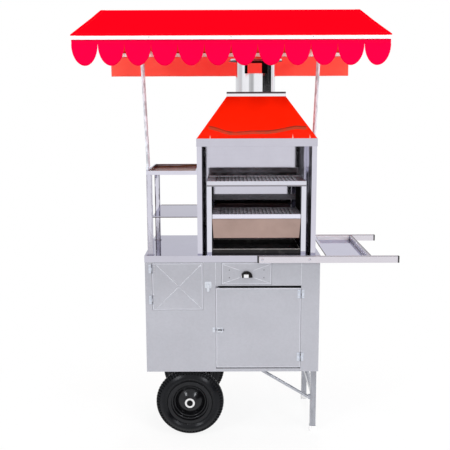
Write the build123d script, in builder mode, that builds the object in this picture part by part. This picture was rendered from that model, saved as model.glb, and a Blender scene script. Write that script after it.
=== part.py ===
from build123d import *

import os
from math import hypot

# Barbecue cart, in millimetres. +X runs along the cart towards its push handles, the serving
# front faces -Y and +Z is up. The origin is on the floor, under the middle of the whole cart.

# Cabinet
cabinet_length = 890.0
cabinet_depth = 590.0
counter_height = 976.0
sheet = 1.5
skirt_drop = 12.0
fascia_height = 34.0
door_gap = 1.5
door_thickness = 16.0
stop_lip = 12.0
stop_gap = 1.0

# Small door, main door and drawer in the cabinet's front
front_top_gap = 6.0
small_door_from_left = 37.0
small_door_width = 256.0
small_door_height = 242.0
main_door_from_left = 361.0
main_door_width = 433.0
main_door_top_gap = 13.0
main_door_bottom_gap = 5.0
bottom_rail = 17.0
drawer_from_left = 391.0
drawer_width = 252.0
drawer_height = 110.0
drawer_rail = 6.0
drawer_depth = 420.0
drawer_side_inset = 8.0
drawer_box_low = 8.0
drawer_box_drop = 14.0
drawer_travel_room = 40.0
runner_ledge = 12.0
runner_gap = 0.8
crease_rise = 3.0
crease_margin = 6.0
crease_hinge_margin = 20.0

# Cup pull
pull_radius = 30.0
pull_depth = 22.0
pull_wall = 2.0
pull_round = 7.0
pull_seat = 3.0

# Butt hinges
hinge_height = 44.0
hinge_leaf = 17.0
hinge_plate = 1.5
hinge_knuckle = 14.0
knuckle_radius = 3.6
hinge_pin_radius = 2.0
pin_head_radius = 3.0
pin_head = 1.2
running_fit = 0.05
slip_gap = 0.3
hinge_clearance = 0.5
small_hinge_drop = 28.0
small_hinge_rise = 52.0
main_hinge_drop = 30.0
main_hinge_rise = 58.0

# Turn latch beside the small door
latch_from_edge = 28.0
latch_rise = 130.0
latch_plate = 34.0
latch_plate_thick = 2.0
latch_boss_radius = 7.0
latch_boss = 3.0
latch_lever_length = 35.0
latch_lever_width = 13.0
latch_lever_thick = 3.0
latch_pin_radius = 2.5
latch_head_radius = 5.0
latch_head = 2.0
latch_gap = 0.4

# Barrel bolt on the main door
bolt_rise = 203.0
bolt_plate_length = 31.0
bolt_plate_height = 26.0
bolt_edge_inset = 3.0
bolt_rod_radius = 3.0
bolt_rod_length = 38.0
bolt_travel = 16.0
bolt_loop_wall = 2.0
bolt_loop_length = 4.0
bolt_knob_radius = 2.5
bolt_knob = 9.0
keeper_loop = 9.0
keeper_length = 14.0
keeper_from_edge = 5.0

# Wheels and axle
tyre_radius = 179.0
tyre_width = 75.0
tyre_wall = 9.0
tyre_bead_radius = 102.0
tyre_bead_half = 24.0
tyre_over_clearance = 15.0
shoulder_drop = 10.0
shoulder_inset = 6.0
bulge_offset = 8.0
flange_gap = 1.5
tread_blocks = 40
tread_slot = 9.0
tread_slot_depth = 4.0
tread_slot_reach = 24.0
tread_slope = 28.0
wheel_inset = 14.0
wheel_from_left = 220.0
rim_wall = 3.0
rim_flange_radius = 116.5
rim_seat_gap = 0.2
rim_ring_radius = 89.0
rim_ring_depth = 14.0
rim_dish_radius = 80.0
rim_dish_depth = 4.0
rim_boss_radius = 46.0
hub_radius = 31.0
hub_length = 62.0
bearing_radius = 26.0
bearing_width = 15.0
axle_radius = 12.5
axle_proud = 3.5
clip_radius = 16.0
clip_width = 1.5
collar_radius = 20.0
collar_width = 8.0
hanger_plate = 5.0
hanger_top_width = 170.0
hanger_flange = 36.0
hanger_eye_radius = 26.0
hanger_gap = 4.0

# Legs
leg_tube = 30.0
leg_wall = 2.0
leg_inset = 60.0
foot_width = 34.0
foot_height = 32.0
tie_tube = 25.0
tie_height = 216.0
brace_radius = 8.0
brace_foot_height = 192.0
brace_head_from_left = 565.0
brace_tab = 22.0
brace_tab_thick = 12.0

# Push handles and the tray between them
handle_reach = 396.0
handle_overlap = 319.0
handle_height = 34.0
handle_width = 20.0
handle_wall = 2.0
handle_below_counter = 1.0
plug_flange = 8.0
plug_depth = 14.0
plug_gap = 0.2
handle_bolts_from_end = (25.0, 263.0)
bolt_head_radius = 6.0
bolt_head = 4.0
tray_from_cabinet = 28.0
tray_width = 234.0
tray_depth = 22.0
tray_rim = 18.0
tray_below_handle = 4.0
tray_gap = 0.6
ledge_width = 14.0
ledge_thick = 2.0

# Shelf rack
rack_front_inset = 25.0
rack_depth = 450.0
rack_left_inset = 14.0
shelf_post = 28.0
post_plate = 40.0
post_plate_thick = 3.0
top_shelf_rise = 428.0
top_shelf_rim = 20.0
shelf_hem = 8.0
lower_shelf_rise = 198.0
lower_shelf_lip = 7.0

# Grill housing, hood and chimney
grill_from_left = 268.0
grill_width = 600.0
grill_angle = 25.0
angle_wall = 2.0
housing_height = 548.0
skirt_height = 40.0
skirt_flange = 12.0
hood_height = 207.0
hood_top_width = 300.0
hood_top_depth = 226.0
hood_wall = 3.0
collar_height = 23.0
chimney_radius = 103.0
chimney_length = 168.0
chimney_wall = 1.5
front_window_width = 116.0
window_width = 76.0
window_height = 62.0
window_from_top = 14.0
cap_radius = 140.0
cap_rim = 6.0
cap_rise = 16.0

# Grill stand, grates, firebox and ash tray
stand_width = 504.0
stand_depth = 311.0
stand_from_front = 20.0
upper_grate_rise = 373.0
upper_frame_height = 27.0
frame_ledge = 20.0
lower_grate_rise = 204.0
lower_grate_depth = 255.0
lower_bar_height = 22.0
runner_width = 18.0
grate_bar = 3.0
grate_bar_height = 18.0
grate_gap = 1.0
mesh_thick = 3.0
mesh_pitch_x = 40.0
mesh_pitch_y = 20.0
mesh_strand = 4.0
firebox_height = 100.0
firebox_taper = 7.0
firebox_wall = 2.0
firebox_inset = 2.0
firebox_depth = 290.0
ash_tray_height = 24.0
ash_tray_depth = 290.0
ash_tray_gap = 4.0
ash_tray_lift = 0.6

# Awning
awning_length = 1428.0
awning_depth = 1164.0
awning_left_reach = 276.0
rail_rise = 1040.0
roof_rise = 180.0
rail_height = 20.0
rail_width = 25.0
rail_wall = 2.0
ridge_shortfall = 44.0
ridge_tube_radius = 12.5
cloth = 3.0
valance_drop = 113.0
rear_valance_drop = 115.0
valance_inset = 8.0
valance_cusp = 21.0
scallops = 12
scallop_slit = 3.0
cross_bar = 20.0
pole_radius = 10.0
pole_wall = 1.5
pole_spread = 928.0
socket_length = 90.0
socket_wall = 3.0
socket_gap = 0.2
socket_plate = 1.5
socket_plate_half = 22.0
socket_web = 8.0
left_socket_drop = 2.0
right_socket_drop = 6.0

# Main lines, worked out from the sizes above
cabinet_left = -(cabinet_length + handle_reach - awning_left_reach) / 2
cabinet_right = cabinet_left + cabinet_length
cabinet_mid = (cabinet_left + cabinet_right) / 2
cabinet_front = -cabinet_depth / 2
cabinet_back = cabinet_depth / 2
cabinet_floor = 2 * tyre_radius + tyre_over_clearance
cabinet_bottom = cabinet_floor - skirt_drop
counter_under = counter_height - sheet
front_inside = cabinet_front + sheet
back_inside = cabinet_back - sheet
fascia_bottom = counter_height - fascia_height
front_top = fascia_bottom - front_top_gap
return_depth = door_thickness + stop_gap + sheet

small_door_left = cabinet_left + small_door_from_left
small_door_right = small_door_left + small_door_width
small_door_bottom = front_top - small_door_height
drawer_left = cabinet_left + drawer_from_left
drawer_right = drawer_left + drawer_width
drawer_bottom = front_top - drawer_height
main_door_left = cabinet_left + main_door_from_left
main_door_right = main_door_left + main_door_width
main_opening_top = drawer_bottom - door_gap - drawer_rail
main_opening_bottom = cabinet_bottom + bottom_rail
main_door_top = main_opening_top - main_door_top_gap
main_door_bottom = main_opening_bottom + main_door_bottom_gap

rack_front = cabinet_front + rack_front_inset
rack_back = rack_front + rack_depth
rack_mid = (rack_front + rack_back) / 2
rack_left = cabinet_left + rack_left_inset
grill_left = cabinet_left + grill_from_left
grill_right = grill_left + grill_width
grill_mid = (grill_left + grill_right) / 2
top_shelf_height = counter_height + top_shelf_rise
lower_shelf_height = counter_height + lower_shelf_rise
upper_grate_height = counter_height + upper_grate_rise
lower_grate_height = counter_height + lower_grate_rise
skirt_bottom = counter_height + housing_height
skirt_top = skirt_bottom + skirt_height
hood_top = skirt_top + hood_height
collar_top = hood_top + collar_height
chimney_top = collar_top + chimney_length

awning_left = cabinet_left - awning_left_reach
awning_mid = awning_left + awning_length / 2
rail_bottom = counter_height + rail_rise
rail_top = rail_bottom + rail_height
awning_height = rail_top + roof_rise
eave = awning_depth / 2

os.makedirs("parts", exist_ok=True)


def block(x, y, z, mode=Mode.ADD):
    """Adds or cuts a box between two limits along each axis."""
    with Locations(((x[0] + x[1]) / 2, (y[0] + y[1]) / 2, (z[0] + z[1]) / 2)):
        Box(x[1] - x[0], y[1] - y[0], z[1] - z[0], mode=mode)


def rod(start, end, radius, mode=Mode.ADD):
    """Adds or cuts a round bar between the centres of its two ends."""
    run = Vector(*end) - Vector(*start)
    with Locations(Plane(origin=start, z_dir=run)):
        Cylinder(radius, run.length, align=(Align.CENTER, Align.CENTER, Align.MIN), mode=mode)


def tray_shape(x, y, z, wall):
    """Adds an open-topped sheet tray."""
    block(x, y, z)
    block((x[0] + wall, x[1] - wall), (y[0] + wall, y[1] - wall), (z[0] + wall, z[1]), mode=Mode.SUBTRACT)


def square_tube(x, y, z, wall, along):
    """Adds a rectangular tube that is open at both ends along one axis."""
    block(x, y, z)
    limits = {"x": x, "y": y, "z": z}
    hole = {a: v if a == along else (v[0] + wall, v[1] - wall) for a, v in limits.items()}
    block(hole["x"], hole["y"], hole["z"], mode=Mode.SUBTRACT)


def write_piece(piece, name):
    """Labels a finished piece and writes its STEP file."""
    piece.part.label = name
    export_step(piece.part, "parts/" + name + ".step")


def cross_crease(x, z, plateau):
    """A shallow pyramid that stands out of the cabinet's front face, flat at its centre."""
    middle = ((x[0] + x[1]) / 2, (z[0] + z[1]) / 2)
    with BuildPart() as crease:
        with BuildSketch(Plane.XZ.offset(-cabinet_front)):
            with Locations(middle):
                Rectangle(x[1] - x[0], z[1] - z[0])
        with BuildSketch(Plane.XZ.offset(crease_rise - cabinet_front)):
            with Locations(middle):
                Rectangle(*plateau)
        loft()
    return crease.part


# Cabinet shell
front_openings = {
    "small": (small_door_left - door_gap, small_door_right + door_gap,
              small_door_bottom - door_gap, front_top + door_gap),
    "drawer": (drawer_left - door_gap, drawer_right + door_gap,
               drawer_bottom - door_gap, front_top + door_gap),
    "main": (main_door_left - door_gap, main_door_right + door_gap,
             main_opening_bottom, main_opening_top),
}
front_sheet = (cabinet_front, front_inside)
front_return = (cabinet_front, cabinet_front + return_depth)
front_stop = (cabinet_front + return_depth - sheet, cabinet_front + return_depth)

with BuildPart() as cabinet_front_panel:
    block((cabinet_left, cabinet_right), front_sheet, (cabinet_bottom, counter_under))
    for low_x, high_x, low_z, high_z in front_openings.values():
        block((low_x, high_x), front_sheet, (low_z, high_z), mode=Mode.SUBTRACT)
    for door in ("small", "main"):
        low_x, high_x, low_z, high_z = front_openings[door]
        block((low_x - sheet, low_x), front_return, (low_z, high_z))
        block((high_x, high_x + sheet), front_return, (low_z, high_z))
    low_x, high_x, low_z, high_z = front_openings["small"]
    block((high_x - stop_lip, high_x + sheet), front_stop, (low_z, high_z))
    low_x, high_x, low_z, high_z = front_openings["main"]
    block((low_x - sheet, low_x + stop_lip), front_stop, (low_z, high_z))
write_piece(cabinet_front_panel, "cabinet_front_panel")

with BuildPart() as cabinet_back_panel:
    block((cabinet_left, cabinet_right), (back_inside, cabinet_back), (cabinet_bottom, counter_under))
write_piece(cabinet_back_panel, "cabinet_back_panel")

with BuildPart() as cabinet_side_panels:
    block((cabinet_left, cabinet_left + sheet), (front_inside, back_inside), (cabinet_bottom, counter_under))
    mirror(about=Plane.YZ.offset(cabinet_mid))
write_piece(cabinet_side_panels, "cabinet_side_panels")

with BuildPart() as cabinet_floor_sheet:
    block((cabinet_left + sheet, cabinet_right - sheet), (front_inside, back_inside),
          (cabinet_floor, cabinet_floor + sheet))
write_piece(cabinet_floor_sheet, "cabinet_floor")

with BuildPart() as countertop:
    block((cabinet_left - sheet, cabinet_right + sheet), (cabinet_front - sheet, cabinet_back + sheet),
          (fascia_bottom, counter_height))
    block((cabinet_left, cabinet_right), (cabinet_front, cabinet_back), (fascia_bottom, counter_under),
          mode=Mode.SUBTRACT)
write_piece(countertop, "countertop")

# Drawer, with its runners hung from the countertop
drawer_mid = (drawer_left + drawer_right) / 2
drawer_box_x = (drawer_left + drawer_side_inset, drawer_right - drawer_side_inset)
drawer_box_y = (front_inside, front_inside + drawer_depth)
drawer_box_z = (drawer_bottom + drawer_box_low, front_top - drawer_box_drop)
pull_plate = (2 * (pull_radius + pull_seat), pull_radius + 2 * pull_seat)
pull_low = (drawer_bottom + front_top - pull_radius) / 2
drawer_crease = cross_crease((drawer_left + crease_margin, drawer_right - crease_margin),
                             (drawer_bottom + crease_margin, front_top - crease_margin), pull_plate)

with BuildPart() as drawer_front:
    block((drawer_left, drawer_right), front_sheet, (drawer_bottom, front_top))
    add(drawer_crease)
    add(drawer_crease.moved(Location((0, sheet, 0))), mode=Mode.SUBTRACT)
write_piece(drawer_front, "drawer_front")

with BuildPart() as drawer_box:
    tray_shape(drawer_box_x, drawer_box_y, drawer_box_z, sheet)
write_piece(drawer_box, "drawer_box")

with BuildPart() as drawer_runners:
    runner_y = (cabinet_front + return_depth, drawer_box_y[1] + drawer_travel_room)
    runner_x = drawer_box_x[0] - runner_gap
    runner_z = drawer_box_z[0] - runner_gap
    block((runner_x - sheet, runner_x), runner_y, (runner_z - sheet, counter_under))
    block((runner_x, runner_x + runner_ledge), runner_y, (runner_z - sheet, runner_z))
    mirror(about=Plane.YZ.offset(drawer_mid))
write_piece(drawer_runners, "drawer_runners")

pull_back = cabinet_front - crease_rise
with BuildPart() as drawer_pull:
    with BuildSketch(Plane(origin=(drawer_mid, pull_back, pull_low), x_dir=(1, 0, 0), z_dir=(0, -1, 0))):
        with BuildLine():
            CenterArc((0, 0), pull_radius, 0, 180)
            Line((-pull_radius, 0), (pull_radius, 0))
        make_face()
    extrude(amount=pull_depth)
    fillet(drawer_pull.edges().group_by(Axis.Y)[0].filter_by(GeomType.CIRCLE), pull_round)
    with BuildSketch(Plane(origin=(drawer_mid, pull_back, pull_low), x_dir=(1, 0, 0), z_dir=(0, -1, 0))):
        with BuildLine():
            CenterArc((0, 0), pull_radius - pull_wall, 0, 180)
            Line((pull_wall - pull_radius, 0), (pull_radius - pull_wall, 0))
        make_face()
    extrude(amount=pull_depth - pull_wall - pull_round / 2, mode=Mode.SUBTRACT)
write_piece(drawer_pull, "drawer_pull")

# Doors: sheet pans that sit flush in the front panel
small_door_x = (small_door_left, small_door_right)
small_door_z = (small_door_bottom, front_top)
main_door_x = (main_door_left, main_door_right)
main_door_z = (main_door_bottom, main_door_top)
door_y = (cabinet_front, cabinet_front + door_thickness)
small_door_crease = cross_crease((small_door_left + crease_hinge_margin, small_door_right - crease_margin),
                                 (small_door_bottom + crease_margin, front_top - crease_margin),
                                 (crease_margin, crease_margin))


def door_pan(x, z):
    """Adds a door skin with its four edges folded back."""
    block(x, door_y, z)
    block((x[0] + sheet, x[1] - sheet), (front_inside, door_y[1]), (z[0] + sheet, z[1] - sheet),
          mode=Mode.SUBTRACT)


with BuildPart() as small_door_panel:
    door_pan(small_door_x, small_door_z)
    add(small_door_crease)
    add(small_door_crease.moved(Location((0, sheet, 0))), mode=Mode.SUBTRACT)
write_piece(small_door_panel, "small_door_panel")

with BuildPart() as main_door_panel:
    door_pan(main_door_x, main_door_z)
write_piece(main_door_panel, "main_door_panel")

# Butt hinges: the pin stands in front of the gap beside the door
hinge_axis_y = cabinet_front - knuckle_radius
small_hinge_x = small_door_left - door_gap / 2
main_hinge_x = main_door_right + door_gap / 2
small_hinge_heights = (small_door_bottom + small_hinge_rise, front_top - small_hinge_drop)
main_hinge_heights = (main_door_bottom + main_hinge_rise, main_door_top - main_hinge_drop)
plate_y = (cabinet_front - hinge_plate, cabinet_front)


def knuckle(x, low, high, mode=Mode.ADD):
    """Adds a hinge knuckle, or cuts the room that the other leaf's knuckle needs."""
    radius = knuckle_radius if mode == Mode.ADD else knuckle_radius + hinge_clearance
    rod((x, hinge_axis_y, low), (x, hinge_axis_y, high), radius, mode=mode)


def hinge_leaf_shape(x, middle, side, on_door):
    """Adds one leaf: the door's has the middle knuckle and the frame's has the two outer ones."""
    low = middle - hinge_height / 2
    high = middle + hinge_height / 2
    inner = (low + hinge_knuckle + slip_gap, high - hinge_knuckle - slip_gap)
    ends = ((low, low + hinge_knuckle), (high - hinge_knuckle, high))
    block(sorted((x, x + side * hinge_leaf)), plate_y, (low, high))
    if on_door:
        for end in ends:
            knuckle(x, end[0] - slip_gap, end[1] + slip_gap, mode=Mode.SUBTRACT)
        knuckle(x, *inner)
    else:
        knuckle(x, inner[0] - slip_gap, inner[1] + slip_gap, mode=Mode.SUBTRACT)
        for end in ends:
            knuckle(x, *end)
    rod((x, hinge_axis_y, low), (x, hinge_axis_y, high), hinge_pin_radius + running_fit, mode=Mode.SUBTRACT)


with BuildPart() as frame_hinge_leaves:
    for hinge_z in small_hinge_heights:
        hinge_leaf_shape(small_hinge_x, hinge_z, -1, False)
    for hinge_z in main_hinge_heights:
        hinge_leaf_shape(main_hinge_x, hinge_z, 1, False)
write_piece(frame_hinge_leaves, "frame_hinge_leaves")

with BuildPart() as small_door_hinge_leaves:
    for hinge_z in small_hinge_heights:
        hinge_leaf_shape(small_hinge_x, hinge_z, 1, True)
write_piece(small_door_hinge_leaves, "small_door_hinge_leaves")

with BuildPart() as main_door_hinge_leaves:
    for hinge_z in main_hinge_heights:
        hinge_leaf_shape(main_hinge_x, hinge_z, -1, True)
write_piece(main_door_hinge_leaves, "main_door_hinge_leaves")

with BuildPart() as hinge_pins:
    for hinge_x, heights in ((small_hinge_x, small_hinge_heights), (main_hinge_x, main_hinge_heights)):
        for hinge_z in heights:
            low_z = hinge_z - hinge_height / 2
            high_z = hinge_z + hinge_height / 2
            rod((hinge_x, hinge_axis_y, low_z), (hinge_x, hinge_axis_y, high_z), hinge_pin_radius)
            rod((hinge_x, hinge_axis_y, high_z), (hinge_x, hinge_axis_y, high_z + pin_head), pin_head_radius)
            rod((hinge_x, hinge_axis_y, low_z - pin_head), (hinge_x, hinge_axis_y, low_z), pin_head_radius)
write_piece(hinge_pins, "hinge_pins")

# Turn latch: a lever that hangs clear of the small door, and turns over its edge
latch_x = small_door_right + latch_from_edge
latch_height = small_door_bottom + latch_rise
latch_face = cabinet_front - latch_plate_thick - latch_boss
lever_back = latch_face - latch_gap
lever_face = lever_back - latch_lever_thick
latch_head_back = lever_face - latch_gap

with BuildPart() as turn_latch_plate:
    with BuildSketch(Plane(origin=(latch_x, cabinet_front, latch_height), x_dir=(1, 0, 0), z_dir=(0, -1, 0))):
        RectangleRounded(latch_plate, latch_plate, latch_plate / 6)
    extrude(amount=latch_plate_thick)
    rod((latch_x, cabinet_front - latch_plate_thick, latch_height), (latch_x, latch_face, latch_height),
        latch_boss_radius)
    rod((latch_x, latch_face, latch_height), (latch_x, latch_head_back, latch_height), latch_pin_radius)
    rod((latch_x, latch_head_back, latch_height), (latch_x, latch_head_back - latch_head, latch_height),
        latch_head_radius)

with BuildPart() as turn_latch_lever:
    with BuildSketch(Plane(origin=(latch_x, lever_back, latch_height), x_dir=(1, 0, 0), z_dir=(0, -1, 0))):
        with Locations((0, -(latch_lever_length - latch_lever_width / 2) / 2)):
            SlotCenterToCenter(latch_lever_length - latch_lever_width / 2, latch_lever_width, rotation=90)
        Circle(latch_pin_radius + running_fit, mode=Mode.SUBTRACT)
    extrude(amount=latch_lever_thick)
write_piece(turn_latch_lever, "turn_latch_lever")

# Barrel bolt: drawn back at rest, so that the door swings freely
bolt_height = main_door_bottom + bolt_rise
bolt_loop_half = bolt_rod_radius + slip_gap + bolt_loop_wall
bolt_axis_y = cabinet_front - hinge_plate - slip_gap - bolt_rod_radius
bolt_loop_y = (bolt_axis_y - bolt_loop_half, cabinet_front - hinge_plate)
bolt_plate_x = (main_door_left + bolt_edge_inset, main_door_left + bolt_edge_inset + bolt_plate_length)
bolt_loop_z = (bolt_height - bolt_loop_half, bolt_height + bolt_loop_half)
bolt_plate_z = (bolt_height - bolt_plate_height / 2, bolt_height + bolt_plate_height / 2)
keeper_x = (main_door_left - keeper_from_edge - keeper_length, main_door_left - keeper_from_edge)
bolt_tip = bolt_plate_x[0] - hinge_plate
bolt_knob_x = (bolt_plate_x[0] + bolt_plate_x[1] + bolt_travel) / 2


def bolt_bore(x, radius):
    """Cuts the round way that the bolt's rod slides in."""
    rod((x[0], bolt_axis_y, bolt_height), (x[1], bolt_axis_y, bolt_height), radius, mode=Mode.SUBTRACT)


with BuildPart() as bolt_plate:
    block(bolt_plate_x, plate_y, bolt_plate_z)
    block((bolt_plate_x[0], bolt_plate_x[0] + bolt_loop_length), bolt_loop_y, bolt_loop_z)
    block((bolt_plate_x[1] - bolt_loop_length, bolt_plate_x[1]), bolt_loop_y, bolt_loop_z)
    bolt_bore(bolt_plate_x, bolt_rod_radius + slip_gap)
write_piece(bolt_plate, "bolt_plate")

with BuildPart() as bolt_rod:
    rod((bolt_tip, bolt_axis_y, bolt_height), (bolt_tip + bolt_rod_length, bolt_axis_y, bolt_height),
        bolt_rod_radius)
    rod((bolt_knob_x, bolt_axis_y, bolt_height), (bolt_knob_x, bolt_axis_y - bolt_knob, bolt_height),
        bolt_knob_radius)
write_piece(bolt_rod, "bolt_rod")

with BuildPart() as latch_keepers:
    add(turn_latch_plate.part)
    block(keeper_x, plate_y, bolt_plate_z)
    block((keeper_x[1] - keeper_loop, keeper_x[1]), bolt_loop_y, bolt_loop_z)
    bolt_bore(keeper_x, bolt_rod_radius + hinge_clearance)
write_piece(latch_keepers, "latch_keepers")

# Wheels: profiles are drawn as radius and place across the tyre, and turned about the axle
wheel_x = cabinet_left + wheel_from_left
wheel_y = cabinet_front + wheel_inset + tyre_width / 2
axle_axis = Axis((wheel_x, 0, tyre_radius), (0, 1, 0))
wheel_plane = Plane(origin=(wheel_x, wheel_y, tyre_radius), x_dir=(1, 0, 0), z_dir=(0, 0, 1))
tyre_half = tyre_width / 2
shoulder_radius = tyre_radius - shoulder_drop
shoulder_half = tyre_half - shoulder_inset
bulge_radius = (tyre_bead_radius + shoulder_radius) / 2 + bulge_offset
sidewall_foot = rim_flange_radius + flange_gap

with BuildPart() as front_tyre:
    with BuildSketch(wheel_plane):
        with BuildLine():
            outside = [(tyre_bead_radius, -tyre_bead_half), (sidewall_foot, -tyre_bead_half)]
            inside = [(tyre_bead_radius, tyre_wall - tyre_bead_half), (sidewall_foot, tyre_wall - tyre_bead_half)]
            Line(*outside)
            ThreePointArc(outside[1], (bulge_radius, -tyre_half), (shoulder_radius, -shoulder_half))
            ThreePointArc((shoulder_radius, -shoulder_half), (tyre_radius, 0), (shoulder_radius, shoulder_half))
            ThreePointArc((shoulder_radius, shoulder_half), (bulge_radius, tyre_half),
                          (sidewall_foot, tyre_bead_half))
            Line((sidewall_foot, tyre_bead_half), (tyre_bead_radius, tyre_bead_half))
            Line((tyre_bead_radius, tyre_bead_half), (tyre_bead_radius, tyre_bead_half - tyre_wall))
            Line((tyre_bead_radius, tyre_bead_half - tyre_wall), (sidewall_foot, tyre_bead_half - tyre_wall))
            ThreePointArc((sidewall_foot, tyre_bead_half - tyre_wall), (bulge_radius, tyre_half - tyre_wall),
                          (shoulder_radius - tyre_wall, shoulder_half - tyre_wall))
            ThreePointArc((shoulder_radius - tyre_wall, shoulder_half - tyre_wall), (tyre_radius - tyre_wall, 0),
                          (shoulder_radius - tyre_wall, tyre_wall - shoulder_half))
            ThreePointArc((shoulder_radius - tyre_wall, tyre_wall - shoulder_half),
                          (bulge_radius, tyre_wall - tyre_half), inside[1])
            Line(inside[1], inside[0])
            Line(inside[0], outside[0])
        make_face()
    revolve(axis=axle_axis)
    tread_plane = Plane(origin=(wheel_x, wheel_y, tyre_radius), x_dir=(1, 0, 0), z_dir=(0, 1, 0))
    for edge in (-1, 1):
        with Locations(tread_plane.offset(edge * shoulder_half)):
            with PolarLocations(shoulder_radius - tread_slot_depth, tread_blocks, start_angle=edge * 90 / tread_blocks):
                with Locations(Location((0, 0, 0), (0, -edge * tread_slope, 0))):
                    Box(4 * tread_slot_depth, tread_slot, tread_slot_reach,
                        align=(Align.MIN, Align.CENTER, Align.CENTER), mode=Mode.SUBTRACT)
write_piece(front_tyre, "front_tyre")

rim_seat = tyre_bead_radius - rim_seat_gap
rim_inside = rim_seat - rim_wall
rim_edge = tyre_bead_half + rim_seat_gap + rim_wall

with BuildPart() as front_rim:
    with BuildSketch(wheel_plane):
        with Locations(((rim_inside + rim_seat) / 2, 0)):
            Rectangle(rim_wall, 2 * rim_edge)
        for edge in (-1, 1):
            with Locations(((rim_inside + rim_flange_radius) / 2, edge * (rim_edge - rim_wall / 2))):
                Rectangle(rim_flange_radius - rim_inside, rim_wall)
        with BuildLine():
            Polyline((rim_seat, -rim_ring_depth), (rim_ring_radius, -rim_ring_depth),
                     (rim_dish_radius, -rim_dish_depth), (rim_boss_radius, -rim_dish_depth),
                     (hub_radius - rim_wall, -rim_ring_depth), (hub_radius - rim_wall, rim_wall - rim_ring_depth),
                     (rim_boss_radius, rim_wall - rim_dish_depth), (rim_dish_radius, rim_wall - rim_dish_depth),
                     (rim_ring_radius, rim_wall - rim_ring_depth), (rim_seat, rim_wall - rim_ring_depth), close=True)
        make_face()
        with Locations(((bearing_radius + hub_radius) / 2, 0)):
            Rectangle(hub_radius - bearing_radius, hub_length)
    revolve(axis=axle_axis)
write_piece(front_rim, "front_rim")

with BuildPart() as front_bearings:
    for edge in (-1, 1):
        outer = wheel_y + edge * hub_length / 2
        inner = outer - edge * bearing_width
        rod((wheel_x, outer, tyre_radius), (wheel_x, inner, tyre_radius), bearing_radius)
    rod((wheel_x, wheel_y - hub_length, tyre_radius), (wheel_x, wheel_y + hub_length, tyre_radius),
        axle_radius + running_fit, mode=Mode.SUBTRACT)
write_piece(front_bearings, "front_bearings")

with BuildPart() as rear_tyre:
    mirror(front_tyre.part, about=Plane.XZ)
write_piece(rear_tyre, "rear_tyre")

with BuildPart() as rear_rim:
    mirror(front_rim.part, about=Plane.XZ)
write_piece(rear_rim, "rear_rim")

with BuildPart() as rear_bearings:
    mirror(front_bearings.part, about=Plane.XZ)
write_piece(rear_bearings, "rear_bearings")

# Axle, its retaining rings and the hangers under the floor
hub_outer = wheel_y - hub_length / 2
hub_inner = wheel_y + hub_length / 2
axle_end = hub_outer - axle_proud
hanger_y = max(wheel_y + tyre_half, hub_inner + slip_gap + collar_width) + hanger_gap

with BuildPart() as axle:
    rod((wheel_x, axle_end, tyre_radius), (wheel_x, -axle_end, tyre_radius), axle_radius)
write_piece(axle, "axle")

with BuildPart() as axle_rings:
    for near, far, radius in ((hub_outer - slip_gap - clip_width, hub_outer - slip_gap, clip_radius),
                              (hub_inner + slip_gap, hub_inner + slip_gap + collar_width, collar_radius)):
        rod((wheel_x, near, tyre_radius), (wheel_x, far, tyre_radius), radius)
        rod((wheel_x, near, tyre_radius), (wheel_x, far, tyre_radius), axle_radius + running_fit, mode=Mode.SUBTRACT)
    mirror(about=Plane.XZ)
write_piece(axle_rings, "axle_rings")

with BuildPart() as axle_hangers:
    with BuildSketch(Plane(origin=(wheel_x, hanger_y, tyre_radius), x_dir=(1, 0, 0), z_dir=(0, -1, 0))):
        with BuildLine():
            Polyline((-hanger_eye_radius, 0), (-hanger_top_width / 2, cabinet_floor - tyre_radius),
                     (hanger_top_width / 2, cabinet_floor - tyre_radius), (hanger_eye_radius, 0))
            CenterArc((0, 0), hanger_eye_radius, 0, -180)
        make_face()
        Circle(axle_radius + running_fit, mode=Mode.SUBTRACT)
    extrude(amount=-hanger_plate)
    block((wheel_x - hanger_top_width / 2, wheel_x + hanger_top_width / 2), (hanger_y, hanger_y + hanger_flange),
          (cabinet_floor - hanger_plate, cabinet_floor))
    mirror(about=Plane.XZ)
write_piece(axle_hangers, "axle_hangers")

# Legs under the handle end, with their beam, tie and diagonal braces
leg_x = (cabinet_right - sheet - leg_tube, cabinet_right - sheet)
leg_y = (cabinet_front + leg_inset, cabinet_front + leg_inset + leg_tube)
leg_mid_x = (leg_x[0] + leg_x[1]) / 2
leg_mid_y = (leg_y[0] + leg_y[1]) / 2

with BuildPart() as legs:
    square_tube(leg_x, leg_y, (foot_height, cabinet_floor), leg_wall, "z")
    block((leg_mid_x - foot_width / 2, leg_mid_x + foot_width / 2),
          (leg_mid_y - foot_width / 2, leg_mid_y + foot_width / 2), (0, foot_height))
    mirror(about=Plane.XZ)
write_piece(legs, "legs")

brace_head = (cabinet_left + brace_head_from_left, leg_mid_y, cabinet_floor - brace_tab_thick)
brace_foot = (leg_x[0] - brace_tab_thick, leg_mid_y, brace_foot_height)
with BuildPart() as leg_bracing:
    rod(brace_foot, brace_head, brace_radius)
    block((leg_x[0] - brace_tab_thick, leg_x[0]), (leg_mid_y - brace_radius, leg_mid_y + brace_radius),
          (brace_foot_height - brace_tab / 2, brace_foot_height + brace_tab / 2))
    block((brace_head[0] - brace_tab, brace_head[0] + brace_tab), (leg_mid_y - brace_radius, leg_mid_y + brace_radius),
          (cabinet_floor - brace_tab_thick, cabinet_floor))
    mirror(about=Plane.XZ)
    tie_x = (leg_mid_x - tie_tube / 2, leg_mid_x + tie_tube / 2)
    square_tube(tie_x, (leg_y[1], -leg_y[1]), (tie_height - tie_tube / 2, tie_height + tie_tube / 2), leg_wall, "y")
    square_tube(leg_x, (leg_y[1], -leg_y[1]), (cabinet_floor - leg_tube, cabinet_floor), leg_wall, "y")
write_piece(leg_bracing, "leg_bracing")

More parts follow.
